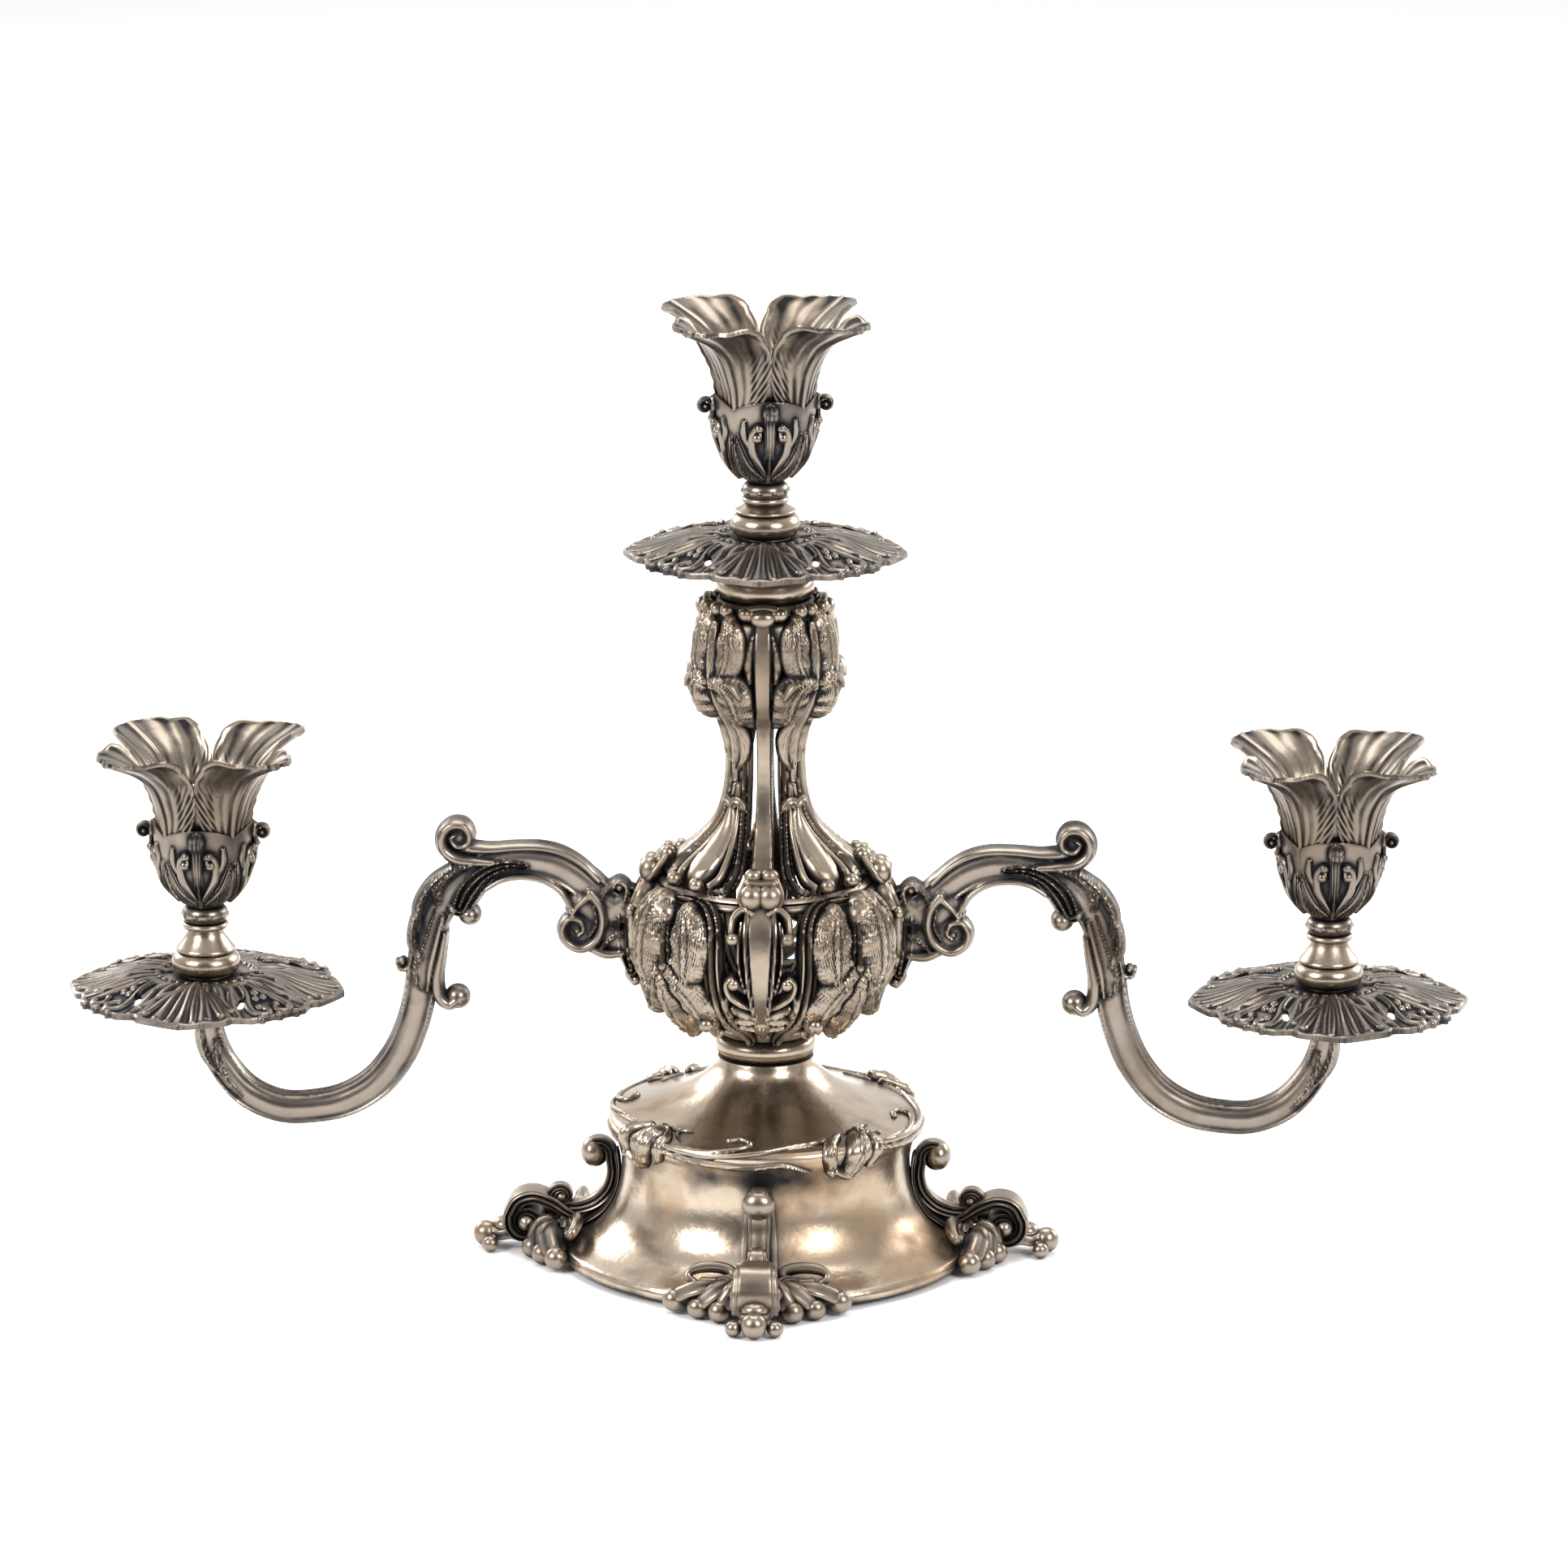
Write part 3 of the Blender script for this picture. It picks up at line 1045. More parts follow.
def bulb_quarter():
    """A quarter of the openwork bulb, its strap at +X."""
    theta, s, canvas = rolled(BULB, 45.3, (150, 156))
    mark = marker(canvas, BULB, -1.3)
    mark([(-50, 83.6, 2.2), (50, 83.6, 2.2)], 2.2, slab, False)
    mark([(-50, 137.2, 1.3), (50, 137.2, 1.3)], 1.0, slab, False)
    mark([(41, 88, 5.0), (41, 98, 7.6), (41, 110, 9.2), (41, 122, 9.0), (41, 131, 6.6)], 0.9, slab)
    mark([(33, 84, 1.5), (34, 90, 2.2), (35, 95, 1.6)], 2.8, feather(4))
    mark([(7, 83, 1.4), (8, 88, 2.0), (9.5, 92.5, 1.3)], 2.6, fluted(2))
    mark([
        (15.0, 83.5, 2.0), (17.5, 89, 2.7), (20.0, 95, 3.3), (21.0, 104, 3.6), (21.2, 114, 3.7),
        (21.2, 124, 3.7), (22.4, 131, 3.5), (27.0, 135.4, 3.1), (34, 136.8, 2.6), (46, 136.8, 2.2)
    ], 5.4, fluted(3, 0.26))
    mark([
        (0, 138.0, 5.6), (0, 131, 5.4), (0, 122, 4.7), (0, 112, 3.9), (0, 104, 3.1), (0, 97.6, 2.0)
    ], 4.0, slab, False)
    mark([(6.4, 136.0, 0.9), (6.6, 129, 1.0), (5.9, 120, 1.0), (5.0, 110, 0.9), (3.6, 101, 0.8)], 5.2)
    mark([(4.0, 135.0, 1.2), (8.4, 136.0, 1.6), (12.4, 133.6, 1.7), (12.8, 129.6, 1.6)], 5.2)
    mark([(8.4, 132.4, 1.0), (9.2, 125, 1.0), (8.6, 117, 0.9), (6.4, 109, 0.8)], 4.2)
    mark([
        (4.4, 103.0, 0.9), (9.4, 104.4, 1.2), (14.0, 107.4, 1.3), (15.0, 111.4, 1.4), (12.6, 113.8, 1.2),
        (10.6, 112.4, 1.0)
    ], 4.6)
    mark([(14.6, 108.6, 1.0), (16.6, 103.0, 1.0), (15.6, 98.0, 0.8)], 3.4)
    mark([(2.6, 98.6, 1.0), (8.0, 99.2, 2.0), (13.8, 101.6, 1.3)], 4.6, feather(3))
    mark([(2.6, 96.6, 1.0), (9.0, 95.6, 1.9), (15.0, 96.2, 1.1)], 4.2, feather(3))
    mark([(0, 94.6, 3.2), (0, 91.0, 3.6), (0, 87.6, 1.6)], 4.8, dome, False)
    mark([(0, 92.6, 1.2), (9.0, 92.0, 1.8), (13.4, 93.6, 0.9)], 4.0)
    parts = [walled(BULB, theta, s, canvas, 0.45, -1.3, 9, -2.5)]
    parts += on_quarter(40.6, 3.1, 141.4, 4.5, (0.95, 1.0, 1.05))
    parts += on_quarter(34.6, 2.9, 147.4, 2.9, (1, 1.1, 1))
    parts += on_quarter(48.0, 9.6, 128.2, 2.3) + on_quarter(46.4, 9.2, 111.4, 2.2)
    crown = np.array([(37.0, y, 145.0 + 0.02 * y * y) for y in np.linspace(-6.2, 6.2, 14)])
    parts.append(tube(crown, 1.9, 2.2, UPWARD, ring=22))
    for side in (-1, 1):
        hook = smooth([(33.0, 96.0), (35.0, 92.4), (33.6, 88.8), (30.6, 88.4)], 6)
        path = np.array([around(r, side * 29, z) for r, z in hook])
        parts.append(tube(path, (2.6, 2.2, 1.6), (1.2, 1.4, 1.3), flutes=5, depth=0.2, ring=22))
        parts.append(ball(around(32.0, side * 29, 89.4), 2.5))
        rise = smooth([
            (41.8, side * 5.6, 137.4), (39.0, side * 7.0, 141.2), (35.8, side * 5.4, 145.4),
            (33.4, side * 3.4, 149.2)
        ], 6)
        parts.append(tube(rise, 1.3, 1.3, ring=18))
    return join(parts)


def iris_low_part():
    """Iris head on a panel of the bulb: two upright petals, anthers, and three drooping falls."""
    theta, s, canvas = rolled(BULB, 31, (150, 130), BULB.s_at(88.0))
    mark = marker(canvas, BULB, 0.2)
    mark([(0, 130, 7), (0, 114, 10), (0, 102, 8)], 1.0, slab, False)
    mark([
        (7.6, 109.5, 3.6), (9.6, 116.5, 9.6), (9.0, 126, 10.4), (6.6, 134.4, 5.6)
    ], 8.2, hairy(14, 0.06, 0.22), False)
    mark([
        (-12.0, 111.5, 3.0), (-13.6, 118, 7.4), (-13.4, 126, 8.0), (-11.0, 133.4, 4.0)
    ], 7.0, hairy(11), False)
    mark([
        (-2.0, 111.5, 1.8), (-2.6, 118, 2.6), (-2.4, 125, 2.0), (-1.6, 130, 1.0)
    ], 6.6, fluted(3, 0.45), False)
    mark([
        (2.0, 114.0, 2.6), (8.0, 109.0, 6.2), (14.0, 103.2, 6.8), (19.5, 98.4, 3.2)
    ], 7.8, hairy(9, 0.08, 0.22), False)
    mark([
        (-5.0, 114.0, 2.6), (-11.0, 108.6, 6.2), (-16.0, 102.0, 6.2), (-18.0, 96.4, 3.0)
    ], 7.6, hairy(9, 0.08, 0.22), False)
    mark([
        (-0.6, 112.0, 2.6), (-0.4, 105.0, 5.4), (0.6, 98.4, 5.6), (1.6, 92.6, 2.6)
    ], 8.4, hairy(10), False)
    parts = [walled(BULB, theta, s, canvas, 0.4, 0.1, 11, -1.4)]
    for turn, r, z, size in (
        (-6, 49.4, 117.6, 1.5), (-2, 50.2, 115.4, 1.7), (2.5, 49.8, 117.2, 1.5), (-19, 43.6, 94.8, 2.6),
        (18, 43.4, 96.6, 2.4)
    ):
        parts.append(ball(around(r, turn, z), size))
    return join(parts)


def neck_quarter():
    """A quarter of the trumpet and upper bulb, its strap at +X."""
    theta, s, canvas = rolled(NECK, 45.4, (96, 196))
    mark = marker(canvas, NECK, -1.2)
    mark([(-50, 139.4, 1.3), (50, 139.4, 1.3)], 0.8, slab, False)
    mark([(-50, 198.0, 3.6), (50, 198.0, 3.6)], 1.2, slab, False)
    mark([(-50, 203.4, 3.0), (50, 203.4, 3.0)], 1.2, slab, False)
    mark([(38, 206, 5.2), (38, 214, 6.2), (38, 224, 7.4), (38, 233, 6.0)], 1.3, slab)
    mark([(-50, 229.0, 6.4), (50, 229.0, 6.4)], 1.1, slab, False)
    mark([(-50, 238.2, 2.4), (50, 238.2, 2.4)], 0.9, slab, False)
    mark([(44, 198, 3.4), (44, 186, 2.6), (44, 174, 1.8), (44, 168, 1.6)], 2.4, feather(6))
    mark([
        (28, 204, 1.4), (31, 194, 1.2), (32, 182, 1.1), (31.5, 172, 1.2), (29.0, 164, 1.4),
        (24.0, 156.6, 1.7), (19.6, 150.2, 2.0), (18.8, 145.4, 2.2), (22.0, 141.8, 2.0), (29.0, 140.6, 1.7)
    ], 3.2, fluted(2, 0.4))
    mark([
        (40, 174, 0.9), (36.6, 165.0, 1.2), (32.4, 157.6, 1.3), (28.8, 150.6, 1.4), (28.0, 145.0, 1.5),
        (32.0, 142.2, 1.5)
    ], 2.8)
    mark([
        (0, 142.6, 4.4), (0, 150, 4.0), (0, 158, 3.5), (0, 168, 2.9), (0, 182, 2.6), (0, 196, 2.8)
    ], 3.1, slab, False)
    mark([(0, 196, 3.0), (0, 206, 2.9), (0, 218, 3.1), (0, 228, 3.2), (0, 236, 2.6)], 3.1, slab, False)
    mark([(0, 206, 0.6), (0, 232, 0.6)], 2.5, dome, False)
    mark([
        (45, 167.0, 1.0), (45, 161.0, 3.0), (45, 154.0, 5.4), (45, 148.0, 6.3), (45, 145.6, 5.8)
    ], 4.2, dome)
    mark([(45, 144.4, 1.2), (38.4, 145.6, 1.5), (36.0, 149.4, 1.2)], 3.6)
    mark([(8.4, 230.0, 1.2), (12.4, 222.0, 1.9), (11.0, 214.0, 1.1)], 2.8, feather(4))
    parts = [walled(NECK, theta, s, canvas, 0.5, -1.2, 9, -2.3)]
    parts += on_quarter(20.6, 4.7, 237.6, 2.5)
    parts.append(ball((22.0, 0, 236.4), 2.9, stretch=(0.9, 1.5, 1.1)))
    crown = np.array([(20.4, y, 240.0 - 0.03 * y * y) for y in np.linspace(-6, 6, 12)])
    parts.append(tube(crown, 1.2, 1.4, UPWARD, ring=20))
    for side in (-1, 1):
        for turn, r, z, size in (
            (36.5, 38.6, 143.2, 2.7), (17.5, 20.8, 237.6, 2.5), (38.0, 20.6, 238.0, 2.6)
        ):
            parts.append(ball(around(r, side * turn, z), size))
        leaf = [
            around(15.8, side * (24 + 3.0 * k), 165.6 + 3.2 * math.sin(k / 8 * math.pi)) for k in range(9)
        ]
        parts.append(tube(np.array(leaf), (1.2, 2.2, 1.6), (1.0, 1.7, 1.2), UPWARD, 6, 0.22, ring=24))
    return join(parts)


def iris_high_part():
    """Iris head on the upper bulb: two upright petals, a ruffled fall each side, and a leaf down the neck."""
    theta, s, canvas = rolled(NECK, 36, (130, 150), NECK.s_at(174.0))
    mark = marker(canvas, NECK, 0.2)
    mark([(0, 232, 5), (0, 220, 7), (0, 208, 5)], 0.9, slab, False)
    mark([
        (7.0, 214.0, 2.0), (14.0, 220.0, 5.4), (15.0, 228.0, 6.0), (12.0, 235.6, 2.6)
    ], 4.8, hairy(12), False)
    mark([
        (-9.0, 214.0, 2.0), (-16.0, 220.0, 5.0), (-17.0, 227.6, 5.4), (-14.0, 234.6, 2.4)
    ], 4.4, hairy(11), False)
    mark([
        (-2.0, 212.0, 1.6), (-2.0, 219.0, 2.6), (-1.0, 227.0, 2.0), (0, 233.0, 1.0)
    ], 4.6, feather(5), False)
    mark([
        (3.0, 214.0, 1.8), (12.0, 214.0, 4.4), (20.0, 210.0, 6.6), (22.0, 203.6, 5.6)
    ], 6.2, hairy(10, 0.09, 0.26), False)
    mark([
        (-4.0, 214.0, 1.8), (-13.0, 213.6, 4.4), (-21.0, 209.4, 6.4), (-23.0, 203.0, 5.4)
    ], 6.0, hairy(10, 0.09, 0.26), False)
    mark([(16.0, 215.6, 1.0), (22.0, 214.2, 1.5), (28.0, 211.0, 1.0)], 6.4, dome, False)
    mark([(-17.0, 215.2, 1.0), (-23.0, 213.8, 1.5), (-29.0, 210.4, 1.0)], 6.2, dome, False)
    mark([
        (0, 212.0, 1.8), (0, 205.0, 3.0), (0, 197.0, 3.4), (0, 190.0, 2.6), (2, 182.0, 1.6), (0, 175.6, 0.8)
    ], 3.0, feather(7), False)
    mark([(10, 200.0, 1.2), (17, 194.0, 2.6), (16, 187.0, 2.2), (9, 183.0, 1.2)], 3.4, hairy(5), False)
    mark([
        (-10, 199.0, 1.2), (-16, 192.0, 2.4), (-14, 185.0, 1.6), (-6, 180.0, 0.8)
    ], 3.0, feather(4), False)
    return walled(NECK, theta, s, canvas, 0.32, 0.1, 9, -1.3)


# ---- arms ---------------------------------------------------------------------------------------
ARM_LINE = [
    (50.0, 126.0, 5.0), (56.5, 129.6, 5.8), (63.0, 135.2, 6.4), (71.0, 140.8, 6.6), (79.0, 143.4, 6.7),
    (87.5, 143.8, 6.6), (96.0, 142.0, 6.6), (104.0, 138.2, 6.6), (111.0, 132.6, 6.4), (116.2, 125.4, 6.2),
    (119.4, 117.0, 6.1), (121.0, 108.0, 6.0), (122.2, 99.0, 5.9), (123.6, 90.6, 5.9), (126.2, 81.6, 6.0),
    (130.8, 71.4, 6.1), (138.6, 61.4, 6.2), (149.0, 54.8, 6.2), (160.0, 52.0, 6.1), (173.0, 51.8, 6.0),
    (185.0, 57.2, 5.8), (193.6, 67.4, 5.5), (197.8, 78.0, 5.2), (199.0, 89.0, 5.0)
]


def arm_part():
    """S-scroll arm along +X: a moulded bar with volutes, acanthus lobes and hooks, the same on both faces."""
    cell = 0.42
    x, z = np.meshgrid(np.arange(41, 208, cell), np.arange(43, 162, cell), indexing="ij")
    canvas = Canvas(x, z)

    def mark(points, height, shape=dome, base=0.0, per=8):
        canvas.stroke(points, height, shape, base, 0.15, per)

    def bud(u, v, radius, height):
        mark([(u, v, radius), (u + 1e-3, v, radius)], height, dome, 0.0, 0)

    mark(ARM_LINE, 5.0, moulded)
    mark([
        (47.6, 133.0, 2.6), (48.8, 124.0, 4.6), (48.8, 113.0, 4.4), (47.4, 104.4, 2.6)
    ], 6.2, fluted(3, 0.3))
    mark([(50.4, 110.6, 2.0), (56.4, 110.2, 2.5), (62.0, 112.4, 2.2)], 4.8)
    mark([(49.4, 130.6, 1.6), (48.8, 134.8, 1.5), (51.8, 137.0, 1.3), (53.6, 134.8, 1.2)], 6.0)
    bud(51.4, 134.8, 1.9, 6.2)
    mark([(47.6, 107.0, 1.8), (48.4, 102.4, 1.6), (46.4, 99.4, 1.5)], 3.6)
    bud(45.8, 100.4, 2.3, 3.8)
    mark([(52.6, 137.0, 1.2), (56.8, 132.6, 2.4), (58.6, 126.6, 1.4)], 6.6, feather(4))
    mark([(50.6, 118.0, 1.6), (55.0, 115.6, 2.2), (58.4, 112.2, 1.2)], 6.2, feather(4))
    bud(64.6, 118.4, 7.4, 4.7)
    mark([(50.0, 129.0, 5.4), (58.0, 125.0, 6.4), (65.0, 129.0, 5.6)], 4.7)
    mark([(49.0, 114.0, 5.0), (56.0, 117.0, 5.6)], 4.4)
    mark([
        (61.8, 132.8, 2.8), (58.2, 127.6, 2.5), (57.4, 121.2, 2.4), (60.0, 115.2, 2.4), (65.4, 112.2, 2.4),
        (70.4, 114.8, 2.3), (71.8, 119.6, 2.1), (69.2, 123.2, 1.8), (65.4, 122.4, 1.6), (64.2, 119.2, 1.4),
        (66.2, 117.2, 1.2)
    ], 6.2)
    bud(66.5, 118.9, 1.7, 6.2)
    mark([(60.4, 127.6, 1.0), (59.8, 121.4, 1.0), (62.4, 116.6, 0.9)], 5.6)
    bud(68.8, 126.0, 2.2, 5.6)
    mark([(62.0, 131.6, 2.4), (66.4, 127.6, 1.8), (68.2, 124.6, 1.2)], 5.8)
    mark([
        (69.0, 127.6, 1.6), (72.4, 133.0, 1.8), (78.6, 136.9, 1.8), (86.4, 138.1, 1.7), (93.4, 136.8, 1.6),
        (99.0, 133.4, 1.4)
    ], 5.2)
    mark([
        (58.6, 136.8, 1.4), (64.4, 142.6, 1.6), (71.4, 146.8, 1.8), (79.2, 148.7, 1.9), (88.2, 148.6, 2.0),
        (96.6, 147.8, 2.2), (103.0, 148.0, 2.6), (106.4, 148.8, 2.8)
    ], 5.0)
    bud(109.0, 152.4, 5.2, 4.6)
    mark([
        (96.0, 143.4, 1.6), (103.0, 143.6, 2.4), (109.4, 144.6, 2.8), (113.6, 148.0, 2.7),
        (114.2, 152.8, 2.5), (111.0, 156.6, 2.4), (106.6, 156.6, 2.3), (104.2, 153.2, 2.0),
        (105.6, 149.8, 1.7), (109.0, 149.4, 1.5), (110.8, 152.2, 1.3), (109.0, 153.6, 1.0)
    ], 6.4)
    mark([
        (84.0, 142.4, 1.8), (92.0, 142.6, 3.4), (99.6, 139.4, 5.0), (105.2, 133.6, 6.2), (108.0, 127.6, 5.2)
    ], 7.0, fluted(5, 0.22))
    bud(104.8, 123.6, 4.1, 6.2)
    bud(110.6, 126.2, 2.4, 5.8)
    mark([
        (102.0, 143.0, 1.2), (110.4, 140.2, 2.4), (116.0, 134.6, 3.2), (115.6, 128.6, 2.2)
    ], 7.2, feather(7))
    mark([
        (110.4, 141.6, 1.2), (118.0, 135.2, 2.3), (122.8, 126.4, 2.6), (122.6, 118.6, 1.6)
    ], 6.8, feather(7))
    mark([
        (119.6, 131.4, 1.0), (124.4, 121.4, 1.9), (124.8, 112.2, 2.4), (121.6, 107.6, 1.8)
    ], 6.8, feather(6))
    mark([
        (116.6, 126.4, 1.6), (120.0, 116.4, 2.6), (123.0, 106.6, 2.9), (123.4, 98.6, 2.6),
        (121.6, 96.2, 1.6)
    ], 6.4, feather(7))
    mark([(114.0, 124.0, 1.2), (116.6, 113.6, 1.8), (118.8, 104.6, 2.0), (119.8, 96.4, 1.1)], 5.8)
    mark([(125.4, 109.6, 1.3), (126.6, 104.6, 1.3), (129.4, 103.6, 1.2), (130.6, 106.0, 1.0)], 4.4)
    bud(128.8, 106.2, 1.5, 4.0)
    mark([
        (113.4, 117.0, 1.4), (115.0, 108.6, 2.0), (116.6, 100.4, 2.6), (115.8, 94.0, 2.6),
        (112.6, 90.8, 2.6), (109.8, 92.4, 2.4)
    ], 5.8)
    bud(109.4, 93.2, 4.5, 5.4)
    mark([(186.6, 56.4, 1.4), (191.4, 62.0, 3.0), (195.0, 69.4, 3.6), (195.8, 76.4, 2.4)], 6.4, feather(6))
    mark([(192.2, 62.4, 1.2), (198.4, 69.6, 2.6), (200.8, 77.6, 2.8), (200.6, 83.4, 1.6)], 6.2, feather(6))
    cavity = canvas.cavity(cell)
    height = canvas.h.clip(0.02, 9)
    front = np.stack([x, -height, z], -1)
    back = np.stack([x, height, z], -1)
    canvas.f = np.minimum(canvas.f, 89.4 - z + 400 * (x < 180))
    parts = [cut_out(front, back, canvas.f, cavity)]
    seat = [
        (2.6, 85.0), (4.6, 85.0), (5.6, 87.0), (5.2, 89.6), (5.6, 92.0), (7.0, 94.0), (7.7, 95.4),
        (7.7, 98.0), (7.2, 98.62), (2.6, 98.62)
    ]
    parts.append(moved(lathe(seat, 72), 0, (ARM_REACH, 0, 0)))
    for k in range(6):
        a = math.radians(60 * k + 30)
        rising = ((4.4, 84.0), (5.6, 89.0), (7.4, 93.6), (8.4, 94.4))
        path = np.array([(ARM_REACH + r * math.cos(a), r * math.sin(a), z) for r, z in rising])
        parts.append(tube(smooth(path, 5), (1.4, 2.4, 1.6), (0.8, 1.1, 0.8), ring=16))
    return join(parts)


def screw_part():
    """Round-headed screw along +X."""
    outline = [
        (1e-4, 0.0), (2.2, 0.0), (3.2, 0.7), (3.4, 1.4), (3.4, 3.0), (2.0, 3.0), (2.0, 19.5), (1.6, 19.9),
        (1e-4, 19.9)
    ]
    v = lathe(outline, 40, cavity=0.55)
    return as_part(v["v"][:, [2, 1, 0]] * np.array([1, -1, 1]), v["q"], v["t"], v["c"])


def build_base():
    standing("base", base_shell_part(), "base_shell", "spun_plate", BASE)
    ring = collar_part(COLLAR_LOW, 9.8, 18.0, 15.4)
    standing("base_ring", ring, "base_collar", "spun_plate", SPUN)
    foot = join(foot_parts())
    for name, azimuth in (("front", -90), ("right", 0), ("back", 90), ("left", 180)):
        standing(f"scroll_foot_{name}", moved(foot, azimuth), f"foot_{name}", "cast_plate", FOOT)
    spray = garland_part()
    sprays = {"front_left": 223, "front_right": 309, "back_right": 39, "back_left": 133}
    for name, azimuth in sprays.items():
        placed = moved(spray, azimuth)
        standing(f"garland_{name}", placed, f"iris_spray_{name}", "cast_plate", GARLAND)


def build_stem():
    for name, quarter, node in (
        ("openwork_bulb", bulb_quarter(), "lower_bulb"), ("openwork_trumpet", neck_quarter(), "trumpet")
    ):
        standing(name, join([moved(quarter, q) for q in QUARTERS]), node, "cast_plate", CAST)
    low, high = iris_low_part(), iris_high_part()
    for name, azimuth in CORNERS.items():
        flip = name in ("front_left", "back_right")
        for kind, part in (("bulb", low), ("upper", high)):
            turned = moved(part, azimuth) if not flip else flipped(part, azimuth)
            standing(f"{kind}_flower_{name}", turned, f"{kind}_iris_{name}", "cast_plate", CAST)
    standing("top_ring", top_ring_part(), "top_collar", "spun_plate", SPUN)
    rod = join([rod_part(58.6, 255.0, 3.0), rod_part(255.0, 289.0, 2.5)])
    standing("centre_rod", rod, "tie_rod", "steel_fixings", STEEL)
    washer = lathe([(3.2, 69.4), (11.0, 69.4), (11.0, 71.0), (3.2, 71.0)], 64)
    standing("centre_washer", washer, "tie_washer", "steel_fixings", STEEL)
    standing("centre_nut", nut_part(64.4, 10.0, 5.0, 3.0), "tie_nut", "steel_fixings", STEEL)


def flipped(part, azimuth):
    """A mirror-image copy (left for right, seen from outside), turned to an azimuth."""
    v = part["v"] * np.array([1.0, -1.0, 1.0])
    return moved(as_part(v, part["q"], part["t"], part["c"]), azimuth)


def top_ring_part():
    """Turned ring: a fat roll under a hollowed neck that carries the top drip pan."""
    roll = spiral((12.6, 243.9), 4.9, 4.3, -84, 168 / 360, 26)
    neck = smooth([(13.0, 248.9), (11.2, 250.8), (9.8, 253.6), (10.2, 255.8), (12.3, 257.2)], 6)
    outline = [(3.4, 239.2), (13.0, 239.2), *roll, *neck, (12.6, 258.0), (12.4, 259.1), (3.4, 259.1)]
    return lathe(outline, 128)


def build_arms():
    arm, screw = arm_part(), moved(screw_part(), 0, (39.3, 0, 120.0))
    for name, mirror in (("right", False), ("left", True)):
        placed = moved(arm, 0, (0, 0, 0), mirror)
        standing(f"scroll_arm_{name}", placed, f"arm_{name}", "cast_plate", ARM)
        fixed = moved(screw, 180 if mirror else 0)
        standing(f"screw_{name}", fixed, f"arm_screw_{name}", "steel_fixings", STEEL)


# ---- floor, light and camera -----------------------------------------------------------------------
def plain_material(name, colour, roughness):
    material = bpy.data.materials.new(name)
    material.use_nodes = True
    surface = material.node_tree.nodes["Principled BSDF"]
    surface.inputs["Base Color"].default_value = (*colour, 1)
    surface.inputs["Roughness"].default_value = roughness
    surface.inputs["Specular IOR Level"].default_value = 0.1
    return material


def build_floor():
    mesh = bpy.data.meshes.new("floor")
    corners = [(x * FLOOR_REACH, y * FLOOR_REACH, 0) for x, y in ((-1, -1), (1, -1), (1, 1), (-1, 1))]
    mesh.from_pydata(corners, [], [(0, 1, 2, 3)])
    mesh.materials.append(plain_material("floor", (0.97, 0.97, 0.97), 0.9))
    floor = bpy.data.objects.new("floor", mesh)
    bpy.context.scene.collection.objects.link(floor)


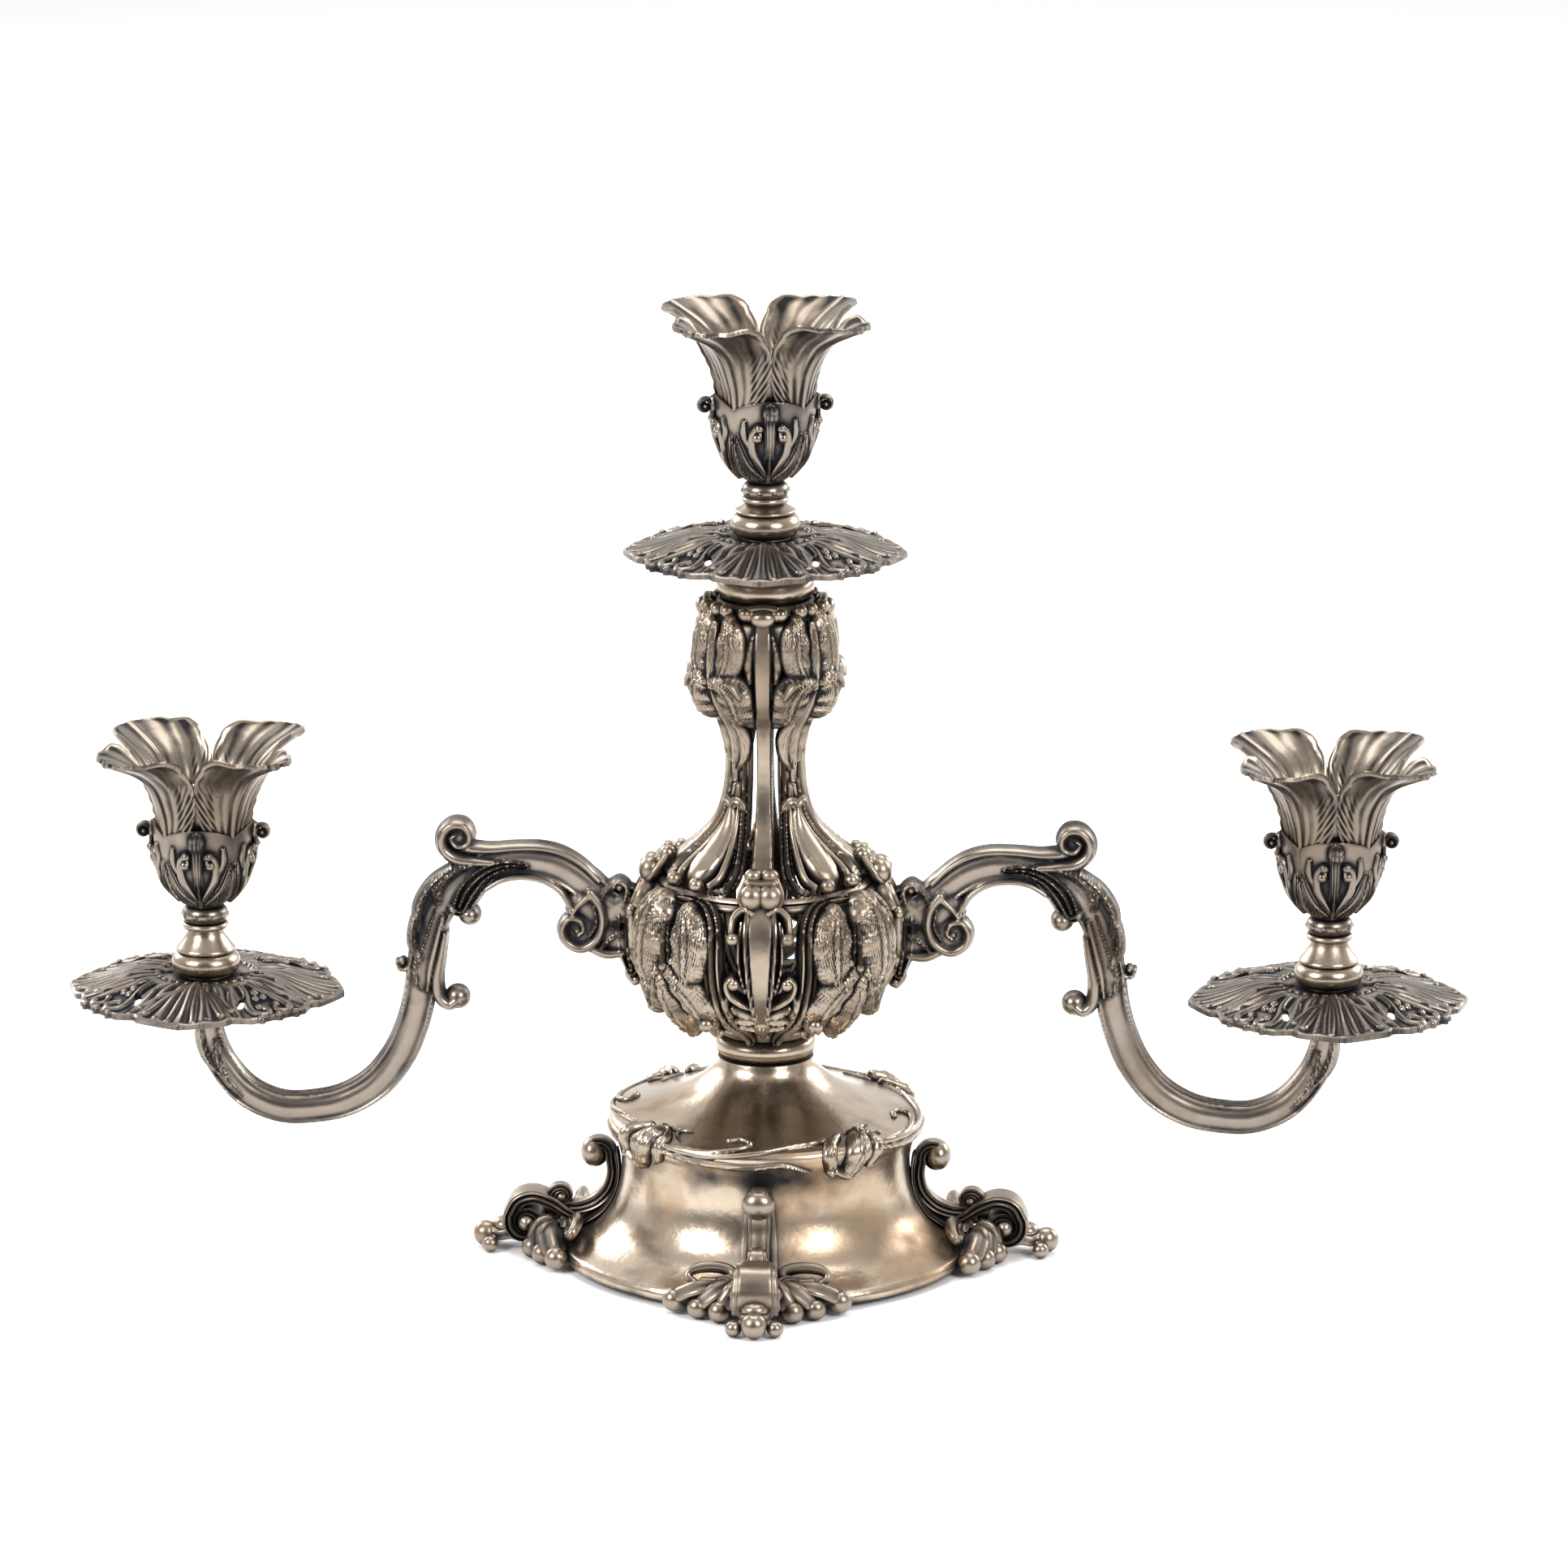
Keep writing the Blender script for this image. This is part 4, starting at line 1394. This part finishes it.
def build_world():
    """Pale room: bright behind and above, darker towards the camera."""
    world = bpy.data.worlds.new("room")
    bpy.context.scene.world = world
    world.use_nodes = True
    nodes, links = world.node_tree.nodes, world.node_tree.links
    where = nodes.new("ShaderNodeTexCoord")
    split = nodes.new("ShaderNodeSeparateXYZ")
    links.new(where.outputs["Generated"], split.inputs[0])

    def ramp(source, low, high, stops):
        spread = nodes.new("ShaderNodeMapRange")
        spread.inputs["From Min"].default_value = low
        spread.inputs["From Max"].default_value = high
        links.new(source, spread.inputs["Value"])
        node = nodes.new("ShaderNodeValToRGB")
        for k, (position, level) in enumerate(stops):
            stop = node.color_ramp.elements[k] if k < 2 else node.color_ramp.elements.new(position)
            stop.position = position
            stop.color = (level, level, level, 1)
        links.new(spread.outputs["Result"], node.inputs["Fac"])
        return node.outputs["Color"]

    depth = ramp(split.outputs["Y"], -1.0, 1.0, ((0.0, 0.08), (1.0, 1.0), (0.28, 0.20), (0.55, 0.85)))
    height = ramp(split.outputs["Z"], 0.0, 1.0, ((0.0, 0.0), (1.0, 0.95), (0.50, 0.12)))
    most = nodes.new("ShaderNodeMix")
    most.data_type = "RGBA"
    most.blend_type = "LIGHTEN"
    most.inputs["Factor"].default_value = 1.0
    links.new(depth, most.inputs[6])
    links.new(height, most.inputs[7])
    links.new(most.outputs[2], nodes["Background"].inputs["Color"])
    nodes["Background"].inputs["Strength"].default_value = ROOM_LIGHT
    bpy.context.scene.view_settings.view_transform = "Standard"


def soft_light(name, place, target, size, power, colour=(1, 1, 1)):
    data = bpy.data.lights.new(name, "AREA")
    data.shape = "RECTANGLE"
    data.size, data.size_y = size
    data.energy = power
    data.color = colour
    lamp = bpy.data.objects.new(name, data)
    lamp.location = place
    lamp.rotation_euler = (Vector(target) - Vector(place)).to_track_quat("-Z", "Y").to_euler()
    bpy.context.scene.collection.objects.link(lamp)


def build_lamps():
    middle = (0, 0, 0.12)
    soft_light("left softbox", (-1.35, -1.15, 1.25), middle, (0.9, 0.9), 34)
    soft_light("right softbox", (1.25, -1.35, 1.25), middle, (0.8, 0.9), 30)
    soft_light("overhead", (0.0, 0.5, 2.2), middle, (1.6, 1.2), 30)
    soft_light("back left", (-1.6, 1.6, 1.1), middle, (1.2, 1.0), 26)
    soft_light("back right", (1.7, 1.4, 1.0), middle, (1.2, 1.0), 24)


def build_camera():
    data = bpy.data.cameras.new("camera")
    data.lens = LENS_MM
    data.sensor_width = 36
    data.dof.use_dof = False
    camera = bpy.data.objects.new("camera", data)
    turn = math.radians(CAMERA_TURN)
    camera.location = (math.sin(turn) * CAMERA_REACH, -math.cos(turn) * CAMERA_REACH, CAMERA_HEIGHT)
    aim = Vector(CAMERA_AIM) - camera.location
    camera.rotation_euler = aim.to_track_quat("-Z", "Y").to_euler()
    bpy.context.scene.collection.objects.link(camera)
    bpy.context.scene.camera = camera


def main():
    build_lights()
    build_base()
    build_stem()
    build_arms()
    build_floor()
    build_world()
    build_lamps()
    build_camera()


main()
